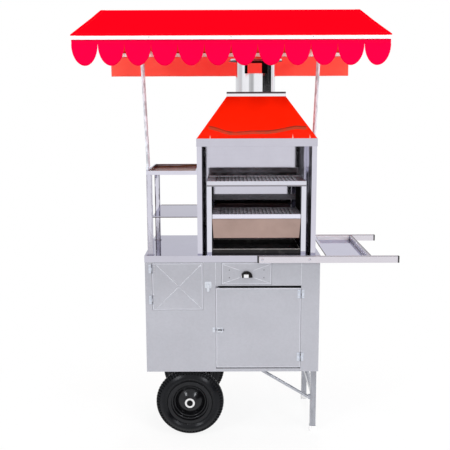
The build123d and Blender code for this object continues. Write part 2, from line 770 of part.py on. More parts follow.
# Push handles bolted along the counter's fascia, and the tray that lifts out between them
handle_x = (cabinet_right - handle_overlap, cabinet_right + handle_reach)
handle_y = (cabinet_front - sheet - handle_width, cabinet_front - sheet)
handle_top = counter_height - handle_below_counter
handle_z = (handle_top - handle_height, handle_top)
tube_x = (handle_x[0] + plug_flange, handle_x[1] - plug_flange)
tray_x = (cabinet_right + tray_from_cabinet, cabinet_right + tray_from_cabinet + tray_width)
tray_top = handle_top - tray_below_handle
ledge_top = tray_top - sheet - slip_gap

with BuildPart() as handle_bars:
    square_tube(tube_x, handle_y, handle_z, handle_wall, "x")
    mirror(about=Plane.XZ)
write_piece(handle_bars, "handle_bars")

with BuildPart() as tray_ledges:
    block(tray_x, (handle_y[1], handle_y[1] + ledge_width), (ledge_top - ledge_thick, ledge_top))
    mirror(about=Plane.XZ)
write_piece(tray_ledges, "tray_ledges")

with BuildPart() as handle_plugs:
    plug_y = (handle_y[0] + handle_wall + plug_gap, handle_y[1] - handle_wall - plug_gap)
    plug_z = (handle_z[0] + handle_wall + plug_gap, handle_z[1] - handle_wall - plug_gap)
    block((handle_x[0], tube_x[0]), handle_y, handle_z)
    block((tube_x[0], tube_x[0] + plug_depth), plug_y, plug_z)
    block((tube_x[1], handle_x[1]), handle_y, handle_z)
    block((tube_x[1] - plug_depth, tube_x[1]), plug_y, plug_z)
    mirror(about=Plane.XZ)
write_piece(handle_plugs, "handle_plugs")

with BuildPart() as handle_bolts:
    for from_end in handle_bolts_from_end:
        with Locations(Plane(origin=(handle_x[0] + from_end, handle_y[0], (handle_z[0] + handle_z[1]) / 2),
                             z_dir=(0, -1, 0))):
            Cone(bolt_head_radius, bolt_head_radius / 2, bolt_head,
                 align=(Align.CENTER, Align.CENTER, Align.MIN))
    mirror(about=Plane.XZ)
write_piece(handle_bolts, "handle_bolts")

with BuildPart() as side_tray:
    tray_y = (handle_y[1] + tray_gap, -handle_y[1] - tray_gap)
    block(tray_x, tray_y, (tray_top - sheet, tray_top))
    pan_x = (tray_x[0] + tray_rim, tray_x[1] - tray_rim)
    pan_y = (tray_y[0] + tray_rim, tray_y[1] - tray_rim)
    block(pan_x, pan_y, (tray_top - tray_depth, tray_top))
    block((pan_x[0] + sheet, pan_x[1] - sheet), (pan_y[0] + sheet, pan_y[1] - sheet),
          (tray_top - tray_depth + sheet, tray_top), mode=Mode.SUBTRACT)
write_piece(side_tray, "side_tray")

# Shelf rack at the left of the counter
post_x = (rack_left, rack_left + shelf_post)
top_shelf_bottom = top_shelf_height - top_shelf_rim
plate_over = (post_plate - shelf_post) / 2
with BuildPart() as shelf_posts:
    for post_y in ((rack_front, rack_front + shelf_post), (rack_back - shelf_post, rack_back)):
        square_tube(post_x, post_y, (counter_height + post_plate_thick, top_shelf_bottom), sheet, "z")
        block((post_x[0] - plate_over, post_x[1] + plate_over), (post_y[0] - plate_over, post_y[1] + plate_over),
              (counter_height, counter_height + post_plate_thick))
write_piece(shelf_posts, "shelf_posts")

top_shelf_x = (rack_left, grill_left)
rack_y = (rack_front, rack_back)
with BuildPart() as top_shelf:
    block(top_shelf_x, rack_y, (top_shelf_bottom, top_shelf_height))
    block((top_shelf_x[0] + sheet, top_shelf_x[1] - sheet), (rack_front + sheet, rack_back - sheet),
          (top_shelf_bottom + sheet, top_shelf_height - sheet), mode=Mode.SUBTRACT)
    block((top_shelf_x[0] + shelf_hem, top_shelf_x[1] - shelf_hem), (rack_front + shelf_hem, rack_back - shelf_hem),
          (top_shelf_height - sheet, top_shelf_height), mode=Mode.SUBTRACT)
write_piece(top_shelf, "top_shelf")

lower_shelf_x = (post_x[1], grill_left)
with BuildPart() as lower_shelf:
    block(lower_shelf_x, rack_y, (lower_shelf_height - lower_shelf_lip, lower_shelf_height))
    block((lower_shelf_x[0] + sheet, lower_shelf_x[1] - sheet), (rack_front + sheet, rack_back - sheet),
          (lower_shelf_height - lower_shelf_lip, lower_shelf_height - sheet), mode=Mode.SUBTRACT)
write_piece(lower_shelf, "lower_shelf")

# Grill housing: four angle posts, a back wall and two side walls
housing_z = (counter_height, skirt_top - angle_wall)
wall_x = (grill_left + angle_wall, grill_left + angle_wall + sheet)
wall_back = rack_back - angle_wall
grill_mirror = Plane.YZ.offset(grill_mid)
with BuildPart() as grill_corner_posts:
    block((grill_left, grill_left + grill_angle), (rack_front, rack_front + angle_wall), housing_z)
    block((grill_left, grill_left + angle_wall), (rack_front, rack_front + grill_angle), housing_z)
    mirror(about=grill_mirror)
    mirror(about=Plane.XZ.offset(-rack_mid))
write_piece(grill_corner_posts, "grill_corner_posts")

with BuildPart() as grill_side_walls:
    block(wall_x, (rack_front + angle_wall, wall_back), housing_z)
    mirror(about=grill_mirror)
write_piece(grill_side_walls, "grill_side_walls")

with BuildPart() as grill_back_wall:
    block((wall_x[1], 2 * grill_mid - wall_x[1]), (wall_back - sheet, wall_back), housing_z)
write_piece(grill_back_wall, "grill_back_wall")

# Hood: a steel skirt round the posts, the painted pyramid and the steel collar on top
with BuildPart() as hood_skirt:
    with BuildSketch(Plane.XY.offset(skirt_bottom)):
        with Locations((grill_mid, rack_mid)):
            Rectangle(grill_width + 2 * angle_wall, rack_depth + 2 * angle_wall)
            Rectangle(grill_width, rack_depth, mode=Mode.SUBTRACT)
    extrude(amount=skirt_height)
    with BuildSketch(Plane.XY.offset(skirt_top - angle_wall)):
        with Locations((grill_mid, rack_mid)):
            Rectangle(grill_width, rack_depth)
            Rectangle(grill_width - 2 * skirt_flange, rack_depth - 2 * skirt_flange, mode=Mode.SUBTRACT)
    extrude(amount=angle_wall)
write_piece(hood_skirt, "hood_skirt")

with BuildPart() as hood_shell:
    for inset, mode in ((0, Mode.ADD), (hood_wall, Mode.SUBTRACT)):
        with BuildSketch(Plane.XY.offset(skirt_top)):
            with Locations((grill_mid, rack_mid)):
                Rectangle(grill_width - 2 * inset, rack_depth - 2 * inset)
        with BuildSketch(Plane.XY.offset(hood_top)):
            with Locations((grill_mid, rack_mid)):
                Rectangle(hood_top_width - 2 * inset, hood_top_depth - 2 * inset)
        loft(mode=mode)
write_piece(hood_shell, "hood_shell")

chimney_foot = (grill_mid, rack_mid, collar_top)
with BuildPart() as hood_collar:
    collar_x = (grill_mid - hood_top_width / 2, grill_mid + hood_top_width / 2)
    collar_y = (rack_mid - hood_top_depth / 2, rack_mid + hood_top_depth / 2)
    block(collar_x, collar_y, (hood_top, collar_top))
    block((collar_x[0] + angle_wall, collar_x[1] - angle_wall), (collar_y[0] + angle_wall, collar_y[1] - angle_wall),
          (hood_top, collar_top - angle_wall), mode=Mode.SUBTRACT)
    with Locations(chimney_foot):
        Cylinder(chimney_radius - chimney_wall, 2 * collar_height, mode=Mode.SUBTRACT)
write_piece(hood_collar, "hood_collar")

window_mid = chimney_top - window_from_top - window_height / 2
with BuildPart() as chimney_pipe:
    with Locations(chimney_foot):
        Cylinder(chimney_radius, chimney_length, align=(Align.CENTER, Align.CENTER, Align.MIN))
        Cylinder(chimney_radius - chimney_wall, chimney_length, align=(Align.CENTER, Align.CENTER, Align.MIN),
                 mode=Mode.SUBTRACT)
    with Locations((grill_mid, rack_mid, window_mid)):
        Box(front_window_width, cap_radius, window_height, align=(Align.CENTER, Align.MAX, Align.CENTER),
            mode=Mode.SUBTRACT)
        Box(window_width, 2 * cap_radius, window_height, mode=Mode.SUBTRACT)
        Box(2 * cap_radius, window_width, window_height, mode=Mode.SUBTRACT)
write_piece(chimney_pipe, "chimney_pipe")

cap_inside = cap_radius - angle_wall
cap_edge = chimney_top - cap_rise * (1 - chimney_radius / cap_inside)
with BuildPart() as chimney_cap:
    with BuildSketch(Plane(origin=(grill_mid, rack_mid, cap_edge), x_dir=(1, 0, 0), z_dir=(0, -1, 0))):
        with BuildLine():
            Polyline((0, cap_rise), (cap_inside, 0), (cap_inside, -cap_rim), (cap_radius, -cap_rim),
                     (cap_radius, angle_wall), (0, cap_rise + angle_wall), close=True)
        make_face()
    revolve(axis=Axis((grill_mid, rack_mid, 0), (0, 0, 1)))
write_piece(chimney_cap, "chimney_cap")

# Grill stand inside the housing: angle legs, an upper frame and two side runners
stand_left = grill_mid - stand_width / 2
stand_right = grill_mid + stand_width / 2
stand_front = rack_front + stand_from_front
stand_back = stand_front + stand_depth
stand_mid_y = (stand_front + stand_back) / 2
stand_mirror = Plane.XZ.offset(-stand_mid_y)
frame_bottom = upper_grate_height - upper_frame_height
runner_bottom = lower_grate_height - lower_bar_height - angle_wall - slip_gap
leg_inner = stand_left + grill_angle

with BuildPart() as stand_legs:
    stand_leg_z = (counter_height, frame_bottom)
    block((stand_left, leg_inner), (stand_front, stand_front + angle_wall), stand_leg_z)
    block((stand_left, stand_left + angle_wall), (stand_front, stand_front + grill_angle), stand_leg_z)
    mirror(about=grill_mirror)
    mirror(about=stand_mirror)
write_piece(stand_legs, "stand_legs")

with BuildPart() as stand_upper_frame:
    frame_z = (frame_bottom, upper_grate_height)
    block((stand_left, stand_right), (stand_front, stand_front + angle_wall), frame_z)
    block((stand_left, stand_right), (stand_front, stand_front + frame_ledge),
          (frame_bottom, frame_bottom + angle_wall))
    mirror(about=stand_mirror)
    block((stand_left, stand_left + angle_wall), (stand_front, stand_back), frame_z)
    block((stand_left, stand_left + frame_ledge), (stand_front, stand_back), (frame_bottom, frame_bottom + angle_wall))
    mirror(about=grill_mirror)
write_piece(stand_upper_frame, "stand_upper_frame")

with BuildPart() as grate_runners:
    block((leg_inner, leg_inner + angle_wall), (stand_front, stand_back), (runner_bottom, lower_grate_height))
    block((leg_inner, leg_inner + runner_width), (stand_front, stand_back),
          (runner_bottom, runner_bottom + angle_wall))
    mirror(about=grill_mirror)
write_piece(grate_runners, "grate_runners")


def mesh_counts(width, depth):
    """How many mesh diamonds fit along and across a grate."""
    return int((width - mesh_pitch_x / 2) // mesh_pitch_x), int((depth - mesh_pitch_y / 2) // mesh_pitch_y)


def diamond(mode):
    """Cuts one opening of the expanded mesh."""
    half_x = mesh_pitch_x / 2 - mesh_strand
    half_y = mesh_pitch_y / 2 - mesh_strand / 2
    Polygon((half_x, 0), (0, half_y), (-half_x, 0), (0, -half_y), mode=mode)


def bar_ring(x, y, z):
    """Adds a grate's edge frame of flat bars."""
    block(x, y, z)
    block((x[0] + grate_bar, x[1] - grate_bar), (y[0] + grate_bar, y[1] - grate_bar), z, mode=Mode.SUBTRACT)


upper_grate_x = (stand_left + angle_wall + grate_gap, stand_right - angle_wall - grate_gap)
upper_grate_y = (stand_front + angle_wall + grate_gap, stand_back - angle_wall - grate_gap)
lower_grate_x = (leg_inner + angle_wall + grate_gap, 2 * grill_mid - leg_inner - angle_wall - grate_gap)
lower_grate_y = (stand_front, stand_front + lower_grate_depth)
upper_mesh_z = frame_bottom + angle_wall + slip_gap + grate_bar_height

with BuildPart() as upper_grate:
    bar_ring(upper_grate_x, upper_grate_y, (upper_mesh_z - grate_bar_height, upper_mesh_z))
    with BuildSketch(Plane.XY.offset(upper_mesh_z)):
        with Locations((grill_mid, (upper_grate_y[0] + upper_grate_y[1]) / 2)):
            upper_size = (upper_grate_x[1] - upper_grate_x[0], upper_grate_y[1] - upper_grate_y[0])
            columns, rows = mesh_counts(*upper_size)
            Rectangle(*upper_size)
            with GridLocations(mesh_pitch_x, mesh_pitch_y, columns, rows):
                diamond(Mode.SUBTRACT)
            with GridLocations(mesh_pitch_x, mesh_pitch_y, columns - 1, rows - 1):
                diamond(Mode.SUBTRACT)
    extrude(amount=mesh_thick)
write_piece(upper_grate, "upper_grate")

with BuildPart() as lower_grate:
    lower_mesh_z = lower_grate_height - mesh_thick
    bar_ring(lower_grate_x, lower_grate_y, (lower_grate_height - lower_bar_height, lower_mesh_z))
    with BuildSketch(Plane.XY.offset(lower_mesh_z)):
        with Locations((grill_mid, (lower_grate_y[0] + lower_grate_y[1]) / 2)):
            lower_size = (lower_grate_x[1] - lower_grate_x[0], lower_grate_y[1] - lower_grate_y[0])
            columns, rows = mesh_counts(*lower_size)
            Rectangle(*lower_size)
            with GridLocations(mesh_pitch_x, mesh_pitch_y, columns, rows):
                diamond(Mode.SUBTRACT)
            with GridLocations(mesh_pitch_x, mesh_pitch_y, columns - 1, rows - 1):
                diamond(Mode.SUBTRACT)
    extrude(amount=mesh_thick)
write_piece(lower_grate, "lower_grate")

firebox_width = 2 * (grill_mid - leg_inner)
firebox_front = stand_front + angle_wall + firebox_inset
firebox_mid = firebox_front + firebox_depth / 2
with BuildPart() as firebox:
    for inset, floor_z, mode in ((0, runner_bottom - firebox_height, Mode.ADD),
                                 (firebox_wall, runner_bottom - firebox_height + firebox_wall, Mode.SUBTRACT)):
        with BuildSketch(Plane.XY.offset(runner_bottom)):
            with Locations((grill_mid, firebox_mid)):
                Rectangle(firebox_width - 2 * inset, firebox_depth - 2 * inset)
        with BuildSketch(Plane.XY.offset(floor_z)):
            with Locations((grill_mid, firebox_mid)):
                Rectangle(firebox_width - 2 * (firebox_taper + inset), firebox_depth - 2 * (firebox_taper + inset))
        loft(mode=mode)
write_piece(firebox, "firebox")

with BuildPart() as ash_tray:
    ash_tray_bottom = counter_height + ash_tray_lift
    tray_shape((leg_inner + ash_tray_gap, 2 * grill_mid - leg_inner - ash_tray_gap),
               (stand_front + ash_tray_gap, stand_front + ash_tray_gap + ash_tray_depth),
               (ash_tray_bottom, ash_tray_bottom + ash_tray_height), sheet)
write_piece(ash_tray, "ash_tray")

# Awning frame: two leaning poles, two rails, cross frames and the ridge tube
pole_x = (awning_mid - pole_spread / 2, awning_mid + pole_spread / 2)
sleeve_radius = pole_radius + socket_gap + socket_wall
left_socket_top = top_shelf_height - left_socket_drop
right_socket_top = skirt_bottom - right_socket_drop
left_face = rack_left
right_face = grill_right - angle_wall
slope_rise = awning_height - cloth - rail_top
ridge_z = awning_height - cloth - ridge_tube_radius * hypot(eave, slope_rise) / eave
rail_y = (-eave, rail_width - eave)


def pole_line(face, side, socket_top, top_x):
    """Foot and top of a pole whose sleeve meets a face at its foot and leans away above it."""
    return (face + side * sleeve_radius, 0, socket_top - socket_length), (top_x, 0, rail_bottom)


def along(line, distance):
    """The point that lies this far up a pole's axis."""
    foot = Vector(*line[0])
    return tuple(foot + (Vector(*line[1]) - foot).normalized() * distance)


poles = ((pole_line(left_face, -1, left_socket_top, pole_x[0]), left_face, -1),
         (pole_line(right_face, 1, right_socket_top, pole_x[1]), right_face, 1))

with BuildPart() as awning_poles:
    for line, face, side in poles:
        pole_end = along(line, rail_bottom)
        rod(along(line, socket_wall), pole_end, pole_radius)
        rod(along(line, socket_wall), pole_end, pole_radius - pole_wall, mode=Mode.SUBTRACT)
    split(bisect_by=Plane.XY.offset(rail_bottom), keep=Keep.BOTTOM)
write_piece(awning_poles, "awning_poles")

with BuildPart() as pole_sockets:
    for line, face, side in poles:
        sleeve_top = along(line, socket_length)
        socket_z = (line[0][2] + socket_wall, sleeve_top[2] - socket_wall)
        block(sorted((face, face + side * socket_plate)), (-socket_plate_half, socket_plate_half), socket_z)
        block(sorted((face, sleeve_top[0])), (-socket_web / 2, socket_web / 2), socket_z)
        rod(line[0], sleeve_top, sleeve_radius)
        rod(along(line, socket_wall), sleeve_top, pole_radius + socket_gap, mode=Mode.SUBTRACT)
write_piece(pole_sockets, "pole_sockets")

with BuildPart() as awning_rails:
    square_tube((awning_left, awning_left + awning_length), rail_y, (rail_bottom, rail_top), rail_wall, "x")
    mirror(about=Plane.XZ)
    ridge_x = (awning_left + ridge_shortfall, awning_left + awning_length - ridge_shortfall)
    rod((ridge_x[0], 0, ridge_z), (ridge_x[1], 0, ridge_z), ridge_tube_radius)
    rod((ridge_x[0], 0, ridge_z), (ridge_x[1], 0, ridge_z), ridge_tube_radius - rail_wall, mode=Mode.SUBTRACT)
write_piece(awning_rails, "awning_rails")

with BuildPart() as awning_cross_frames:
    for frame_x in pole_x:
        bar_x = (frame_x - cross_bar / 2, frame_x + cross_bar / 2)
        square_tube(bar_x, (rail_y[1], -rail_y[1]), (rail_bottom, rail_bottom + cross_bar), rail_wall, "y")
        square_tube(bar_x, (-cross_bar / 2, cross_bar / 2), (rail_bottom + cross_bar, ridge_z - ridge_tube_radius),
                    rail_wall, "z")
write_piece(awning_cross_frames, "awning_cross_frames")

# Cloth: a taut roof over the ridge, and two valances under the rails
with BuildPart() as awning_roof:
    with BuildSketch(Plane.YZ.offset(awning_left)):
        with BuildLine():
            Polyline((-eave, rail_top), (0, rail_top + slope_rise), (eave, rail_top), (eave, rail_top + cloth),
                     (0, awning_height), (-eave, rail_top + cloth), close=True)
        make_face()
    extrude(amount=awning_length)
    for end_x, inward in ((awning_left, 1), (awning_left + awning_length, -1)):
        end_normal = (inward * (awning_height - rail_top), 0, -ridge_shortfall)
        split(bisect_by=Plane(origin=(end_x, 0, rail_top), x_dir=(0, 1, 0), z_dir=end_normal), keep=Keep.TOP)
write_piece(awning_roof, "awning_roof")

scallop_pitch = awning_length / scallops
scallop_half = (scallop_pitch - scallop_slit) / 2
cusp_z = rail_bottom - valance_cusp
scallop_deep = valance_drop - valance_cusp
valance_y = valance_inset - eave
with BuildPart() as front_valance:
    with BuildSketch(Plane.XZ.offset(-valance_y)):
        with BuildLine():
            Line((awning_left, rail_bottom), (awning_left + awning_length, rail_bottom))
            for index in range(scallops):
                left_x = awning_left + index * scallop_pitch
                right_x = left_x + scallop_pitch
                middle_x = (left_x + right_x) / 2
                EllipticalCenterArc((middle_x, cusp_z), scallop_half, scallop_deep, 180, arc_size=180)
                slit_end = right_x + scallop_slit / 2
                if index < scallops - 1:
                    Line((right_x - scallop_slit / 2, cusp_z), (slit_end, cusp_z))
            for end_x, arc_x in ((awning_left, awning_left + scallop_slit / 2),
                                 (awning_left + awning_length, awning_left + awning_length - scallop_slit / 2)):
                Polyline((end_x, rail_bottom), (end_x, cusp_z), (arc_x, cusp_z))
        make_face()
    extrude(amount=-cloth)
write_piece(front_valance, "front_valance")

with BuildPart() as rear_valance:
    block((awning_left, awning_left + awning_length), (-valance_y - cloth, -valance_y),
          (rail_bottom - rear_valance_drop, rail_bottom))
write_piece(rear_valance, "rear_valance")
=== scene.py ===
"""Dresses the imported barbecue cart: red canvas, enamel, stainless and galvanised sheet, rubber tyres."""

import math

import bmesh
import bpy
from bpy.props import FloatProperty, FloatVectorProperty, IntProperty, PointerProperty
from mathutils import Matrix, Vector, noise

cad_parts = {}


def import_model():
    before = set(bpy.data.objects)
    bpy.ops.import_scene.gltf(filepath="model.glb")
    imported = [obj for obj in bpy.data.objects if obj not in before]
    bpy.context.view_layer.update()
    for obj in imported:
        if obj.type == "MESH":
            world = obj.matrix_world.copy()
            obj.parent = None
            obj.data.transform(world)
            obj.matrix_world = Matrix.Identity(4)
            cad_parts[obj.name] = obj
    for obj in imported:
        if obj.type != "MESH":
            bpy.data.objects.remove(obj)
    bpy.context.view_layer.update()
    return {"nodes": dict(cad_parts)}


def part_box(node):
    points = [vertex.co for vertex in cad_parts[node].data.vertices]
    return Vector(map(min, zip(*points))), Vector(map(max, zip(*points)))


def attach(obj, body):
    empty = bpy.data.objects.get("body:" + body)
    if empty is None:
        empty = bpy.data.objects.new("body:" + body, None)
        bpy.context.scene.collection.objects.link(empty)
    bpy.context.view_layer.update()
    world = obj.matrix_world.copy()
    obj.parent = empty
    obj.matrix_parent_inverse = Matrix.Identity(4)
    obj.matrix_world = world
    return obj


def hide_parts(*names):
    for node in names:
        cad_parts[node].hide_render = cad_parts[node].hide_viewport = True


bl_info = {
    "name": "Barbecue cart looks",
    "version": (1, 0, 0),
    "blender": (4, 5, 0),
    "location": "3D View > Sidebar > Cart",
    "description": "Cloth, metal, paint and rubber for a street barbecue cart",
    "category": "Object",
}

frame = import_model()
NODES = frame["nodes"]
ROOF_LOW, ROOF_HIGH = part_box("awning_roof")
RAIL_LOW, RAIL_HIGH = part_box("awning_rails")
FRONT_LOW, FRONT_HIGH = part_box("front_valance")
REAR_LOW, REAR_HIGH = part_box("rear_valance")
TYRE_LOW, TYRE_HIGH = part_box("front_tyre")
FORWARD = Vector((0, -1, 0))
UP = Vector((0, 0, 1))

# The roof cloth: its ridge's shortfall, its bend as a share of a slope, its unevenness, its gap to its solid
ROOF_MIDDLE = (ROOF_LOW.x + ROOF_HIGH.x) / 2
RIDGE_SHORTFALL = 0.044
RIDGE_BEND = 0.018
ROOF_UNEVEN = 0.0012
CLOTH_GAP = 0.0004
# How the roof's edge turns over a rail: where the turn starts below it, and how far it stands out
TURN_START = 0.0008
TURN_BULGE = 0.0014
# The roof's seams, as a share of its half length past the hems' inner edges, and as a share of a slope
HEM_SEAM = 0.004
EAVE_SEAM = 0.972
# The front valance's two seams and the rear one's, below the rail and above the foot, and the bound edge
FRONT_SEAMS = (0.005, 0.014)
REAR_SEAM = 0.014
BINDING_RADIUS = 0.0011
BINDING_SIDES = 6
# A stitch: its step, length and thread, and its four rings as (share of the length, width, lift)
STITCH_STEP = 0.006
STITCH_LENGTH = 0.0042
THREAD_RADIUS = 0.00035
STITCH_RINGS = ((-0.5, 0.3, 0.0), (-0.25, 1.0, 0.8), (0.25, 1.0, 0.8), (0.5, 0.3, 0.0))

# Hinge leaves, and the screws in them, in the bolt's plate and in the rails
LEAF_THICK = 0.0015
LEAF_HEIGHT = 0.044
LEAF_SCREW_STEP = 0.013
SCREW_INSET = 0.006
BOLT_SCREW_INSETS = (0.012, 0.026)
BOLT_SCREW_EDGE = 0.0035
RAIL_SCREW_PITCH = 0.365
LEAF_SCREW, RAIL_SCREW = 0.0024, 0.0032
# The drawer front's rivets: radius, depth behind the front, and places off its middle
RIVET = 0.0026
RIVET_BACK = 0.0019
RIVET_PLACES = [(-0.088, -0.02), (-0.088, 0.02), (0.088, -0.02), (0.088, 0.02)]
# Screw heads turned from (radius, height), in radii, from the middle of the top down
PAN_HEAD = [(0.05, 0.55), (0.45, 0.52), (0.80, 0.36), (1.00, 0.12), (1.00, -0.15)]
SUNK_HEAD = [(0.05, 0.11), (0.80, 0.11), (1.00, 0.02), (0.95, -0.20)]
HEAD_SIDES = 16

# The pressed folds of the small door and the drawer front: margins, rise, and size of the flat middle
FOLD_MARGIN = 0.006
FOLD_HINGE_MARGIN = 0.020
FOLD_RISE = 0.003
DRAWER_FLAT = Vector((0.033, 0.018))
DOOR_FLAT = Vector((0.003, 0.003))
# A fold or seam stands out as a low rib: half its width, its rise, and its section as (across, up)
BEAD_HALF = 0.002
BEAD_RISE = 0.0006
BEAD_SECTION = ((-1.0, -0.5), (-0.6, 0.7), (0.0, 1.0), (0.6, 0.7), (1.0, -0.5))
# The panel's seams left and right of the drawer front, and how far they run past it
SEAM_LEFT, SEAM_RIGHT, SEAM_PAST = 0.032, 0.153, 0.004
# Sharper bends than this, in degrees, get a round
FOLD_ANGLE = 32

# Sheet pieces with a zinc coat, doors with a painted highlight along their edges, and the pieces whose edges
# stay as they are
CABINET = ["cabinet_front_panel", "cabinet_back_panel", "cabinet_side_panels", "cabinet_floor",
           "drawer_runners", "small_door_hinge_leaves", "drawer_box"]
DOORS = ["small_door_panel", "main_door_panel", "drawer_front"]
NOT_FOLDED = ("drawer_runners", "chimney_pipe", "chimney_cap")
# Polishing lines that lie level or upright, as fineness along each axis
LEVEL, UPRIGHT = (6, 700, 700), (700, 700, 6)
# Nearly all values of a cloud pattern lie in this range
USUAL = (0.3, 0.7)
# How softly a mark on a sheet ends, in metres
SOFT = 0.0004

# Tints of single pieces
HINGE_GREY = (0.69, 0.73, 0.82)
STAND_TINT = (0.73, 0.73, 0.81)
HANDLE_TINT = (0.71, 0.68, 0.735)
POLE_ZINC = (0.82, 0.87, 0.95)
LEG_ZINC = (0.37, 0.38, 0.42)
FOOT_WHITE = (0.95, 0.95, 0.95)
PLUG_BLACK = (0.025, 0.025, 0.027)
# A cool sheen on rubber and black paint
COOL_SHEEN = (0.92, 0.94, 1.0)
# How high the legs' white plastic feet reach
LEG_FOOT = 0.032
# The heights between which the cabinet's zinc turns darker towards the top, and the width of a painted
# highlight along a door's edges
DARKER_FROM_TO = (0.72, 0.86)
LIT_EDGE_WIDTH = 0.003
# Colours on steel: soot also used for painted shade and dark reflection, painted shade in folds, grease with
# a painted dark reflection, a pale painted reflection, and the ash tray's black of soot and painted shade and
# its rim's wear with a painted highlight
SOOT_SHADE_AND_REFLECTION = (0.012, 0.011, 0.011)
SHADED = (0.085, 0.075, 0.085)
BROWN_GREASE_AND_REFLECTION = (0.16, 0.065, 0.035)
PALE_REFLECTION = (0.90, 0.91, 0.94)
ASH_SOOT_AND_SHADE = (0.020, 0.019, 0.019)
ASH_RIM_WEAR_AND_HIGHLIGHT = (0.62, 0.60, 0.58)
# Soot on the grill's back wall: a grate, the band's foot and top over it, and how dark it is
WALL_BANDS = [("upper_grate", -0.011, 0.0105, 0.95), ("upper_grate", 0.0105, 0.037, 0.76),
              ("lower_grate", 0.021, 0.053, 0.66)]
# A band of painted reflection, of the awning's edge, as (share across the hood, rise above its foot), and
# painted glints as (share, height)
EDGE_REFLECTION_BROWN = (0.50, 0.065, 0.028)
EDGE_REFLECTION_HALF = 0.0105
EDGE_REFLECTION_LINE = [(0.10, 0.054), (0.155, 0.048), (0.21, 0.036), (0.265, 0.0255), (0.32, 0.024), (0.375, 0.0255),
               (0.46, 0.031), (0.57, 0.029), (0.65, 0.033), (0.735, 0.0435), (0.79, 0.050), (0.83, 0.054),
               (0.905, 0.050)]
HOOD_GLINTS = [(0.112, 0.018), (0.797, 0.025), (0.939, 0.021)]
GLINT_HALF = 0.006
GLINT_PINK = (0.95, 0.62, 0.50)

# What polished metal mirrors: degrees round from the front to the right, and how pale it is there
MIRRORED_STRIPS = [(-180, 0.90), (-120, 0.72), (-88, 0.66), (-82, 0.95), (-42, 1.0), (-38, 0.62),
                   (-20, 0.44), (-12, 0.66), (-8, 0.97), (38, 1.0), (40, 0.010), (70, 0.012),
                   (80, 0.035), (88, 0.012), (101, 0.008), (104, 0.95), (150, 0.90), (180, 0.90)]
# Heights in the sky, as shares, below and above which polished metal mirrors plain white
LEVEL_SKY, OVERHEAD = 0.005, 0.74
WHITE = (1, 1, 1)
FLOOR_WHITE = (0.95, 0.95, 0.95)
FLOOR_REACH = 30.0
# Soft lamps as place and share of the power, their size, and the point that they look at
LAMPS = {"left_lamp": ((-3.0, -4.2, 3.6), 1.1), "right_lamp": ((2.9, -4.4, 3.4), 1.1),
         "back_lamp": ((0.4, 4.6, 3.2), 1.7), "top_lamp": ((0.0, -2.0, 5.6), 0.7)}
LAMP_SIZE = (0.55, 0.75)
LAMP_AIM = Vector((0, 0, 1.1))

# What every colour setting has
COLOUR = {"subtype": "COLOR", "size": 3, "min": 0, "max": 1}


class AwningSettings(bpy.types.PropertyGroup):
    """Sizes and colours of the awning's cloth."""

    roof_red: FloatVectorProperty(
        name="Roof red", description="Colour of the roof canvas", default=(1.0, 0.001, 0.010), **COLOUR)
    valance_red: FloatVectorProperty(
        name="Valance red", description="Colour of the two valances", default=(1.0, 0.001, 0.068), **COLOUR)
    # The valances' lining colour is paler than the cloth: painted light that stands for light shining through
    # the cloth from behind.
    backlit_lining_red: FloatVectorProperty(
        name="Lining red", description="Colour of the valances' inside", default=(1.0, 0.31, 0.20), **COLOUR)
    under_red: FloatVectorProperty(
        name="Underside red", description="Colour under the roof", default=(1.0, 0.07, 0.02), **COLOUR)
    sag: FloatProperty(
        name="Sag", description="How far the roof dips between ridge and rails", unit="LENGTH", min=0,
        default=0.0022)
    thickness: FloatProperty(
        name="Cloth", description="Thickness of the canvas", unit="LENGTH", min=0.0005, default=0.0013)
    hem: FloatProperty(
        name="Hem", description="Width of the sewn hems", unit="LENGTH", min=0.005, default=0.024)
    turn_down: FloatProperty(
        name="Turned edge", description="How far the roof's edge is turned down over a rail", unit="LENGTH",
        min=0.001, default=0.0042)
    scallops: IntProperty(
        name="Scallops", description="Number of tongues on the front valance", min=2, default=12)
    slit: FloatProperty(
        name="Slit", description="Gap between two tongues at their top", unit="LENGTH", min=0.001,
        default=0.003)
    cusp: FloatProperty(
        name="Band", description="Height of the uncut band above the tongues", unit="LENGTH", min=0.005,
        default=0.021)
    sway: FloatProperty(
        name="Sway", description="How far the valances wave out of their plane", unit="LENGTH", min=0,
        default=0.006)


class SteelSettings(bpy.types.PropertyGroup):
    """Colours of the cart's metal and paint."""

    zinc_grey: FloatVectorProperty(
        name="Galvanised", description="Colour of the zinc coat", default=(0.485, 0.49, 0.54), **COLOUR)
    steel_grey: FloatVectorProperty(
        name="Stainless", description="Colour of the stainless sheet", default=(0.58, 0.57, 0.65), **COLOUR)
    steel_bright: FloatVectorProperty(
        name="Bright steel", description="Colour of the chimney", default=(0.86, 0.86, 0.90), **COLOUR)
    firebox_tint: FloatVectorProperty(
        name="Firebox", description="Heat tint of the firebox", default=(0.42, 0.30, 0.265), **COLOUR)
    hood_red: FloatVectorProperty(
        name="Hood red", description="Colour of the hood's enamel", default=(1.0, 0.016, 0.001), **COLOUR)
    rail_white: FloatVectorProperty(
        name="Rail white", description="Colour of the awning's frame", default=(0.92, 0.91, 0.90), **COLOUR)
    edge_round: FloatProperty(
        name="Folded edge", description="Radius of the sheet's folded edges", unit="LENGTH", min=0.0001,
        default=0.0006)


class WheelSettings(bpy.types.PropertyGroup):
    """Sizes and colours of the two wheels."""

    rubber: FloatVectorProperty(
        name="Rubber", description="Colour of the tyres", default=(0.003, 0.0032, 0.0042), **COLOUR)
    rim_black: FloatVectorProperty(
        name="Rim black", description="Colour of the rims' paint", default=(0.003, 0.003, 0.0036), **COLOUR)
    lugs: IntProperty(
        name="Lugs", description="Tread lugs round a tyre", min=12, default=66)
    lug_depth: FloatProperty(
        name="Lug depth", description="Depth of the tread", unit="LENGTH", min=0.001, default=0.006)


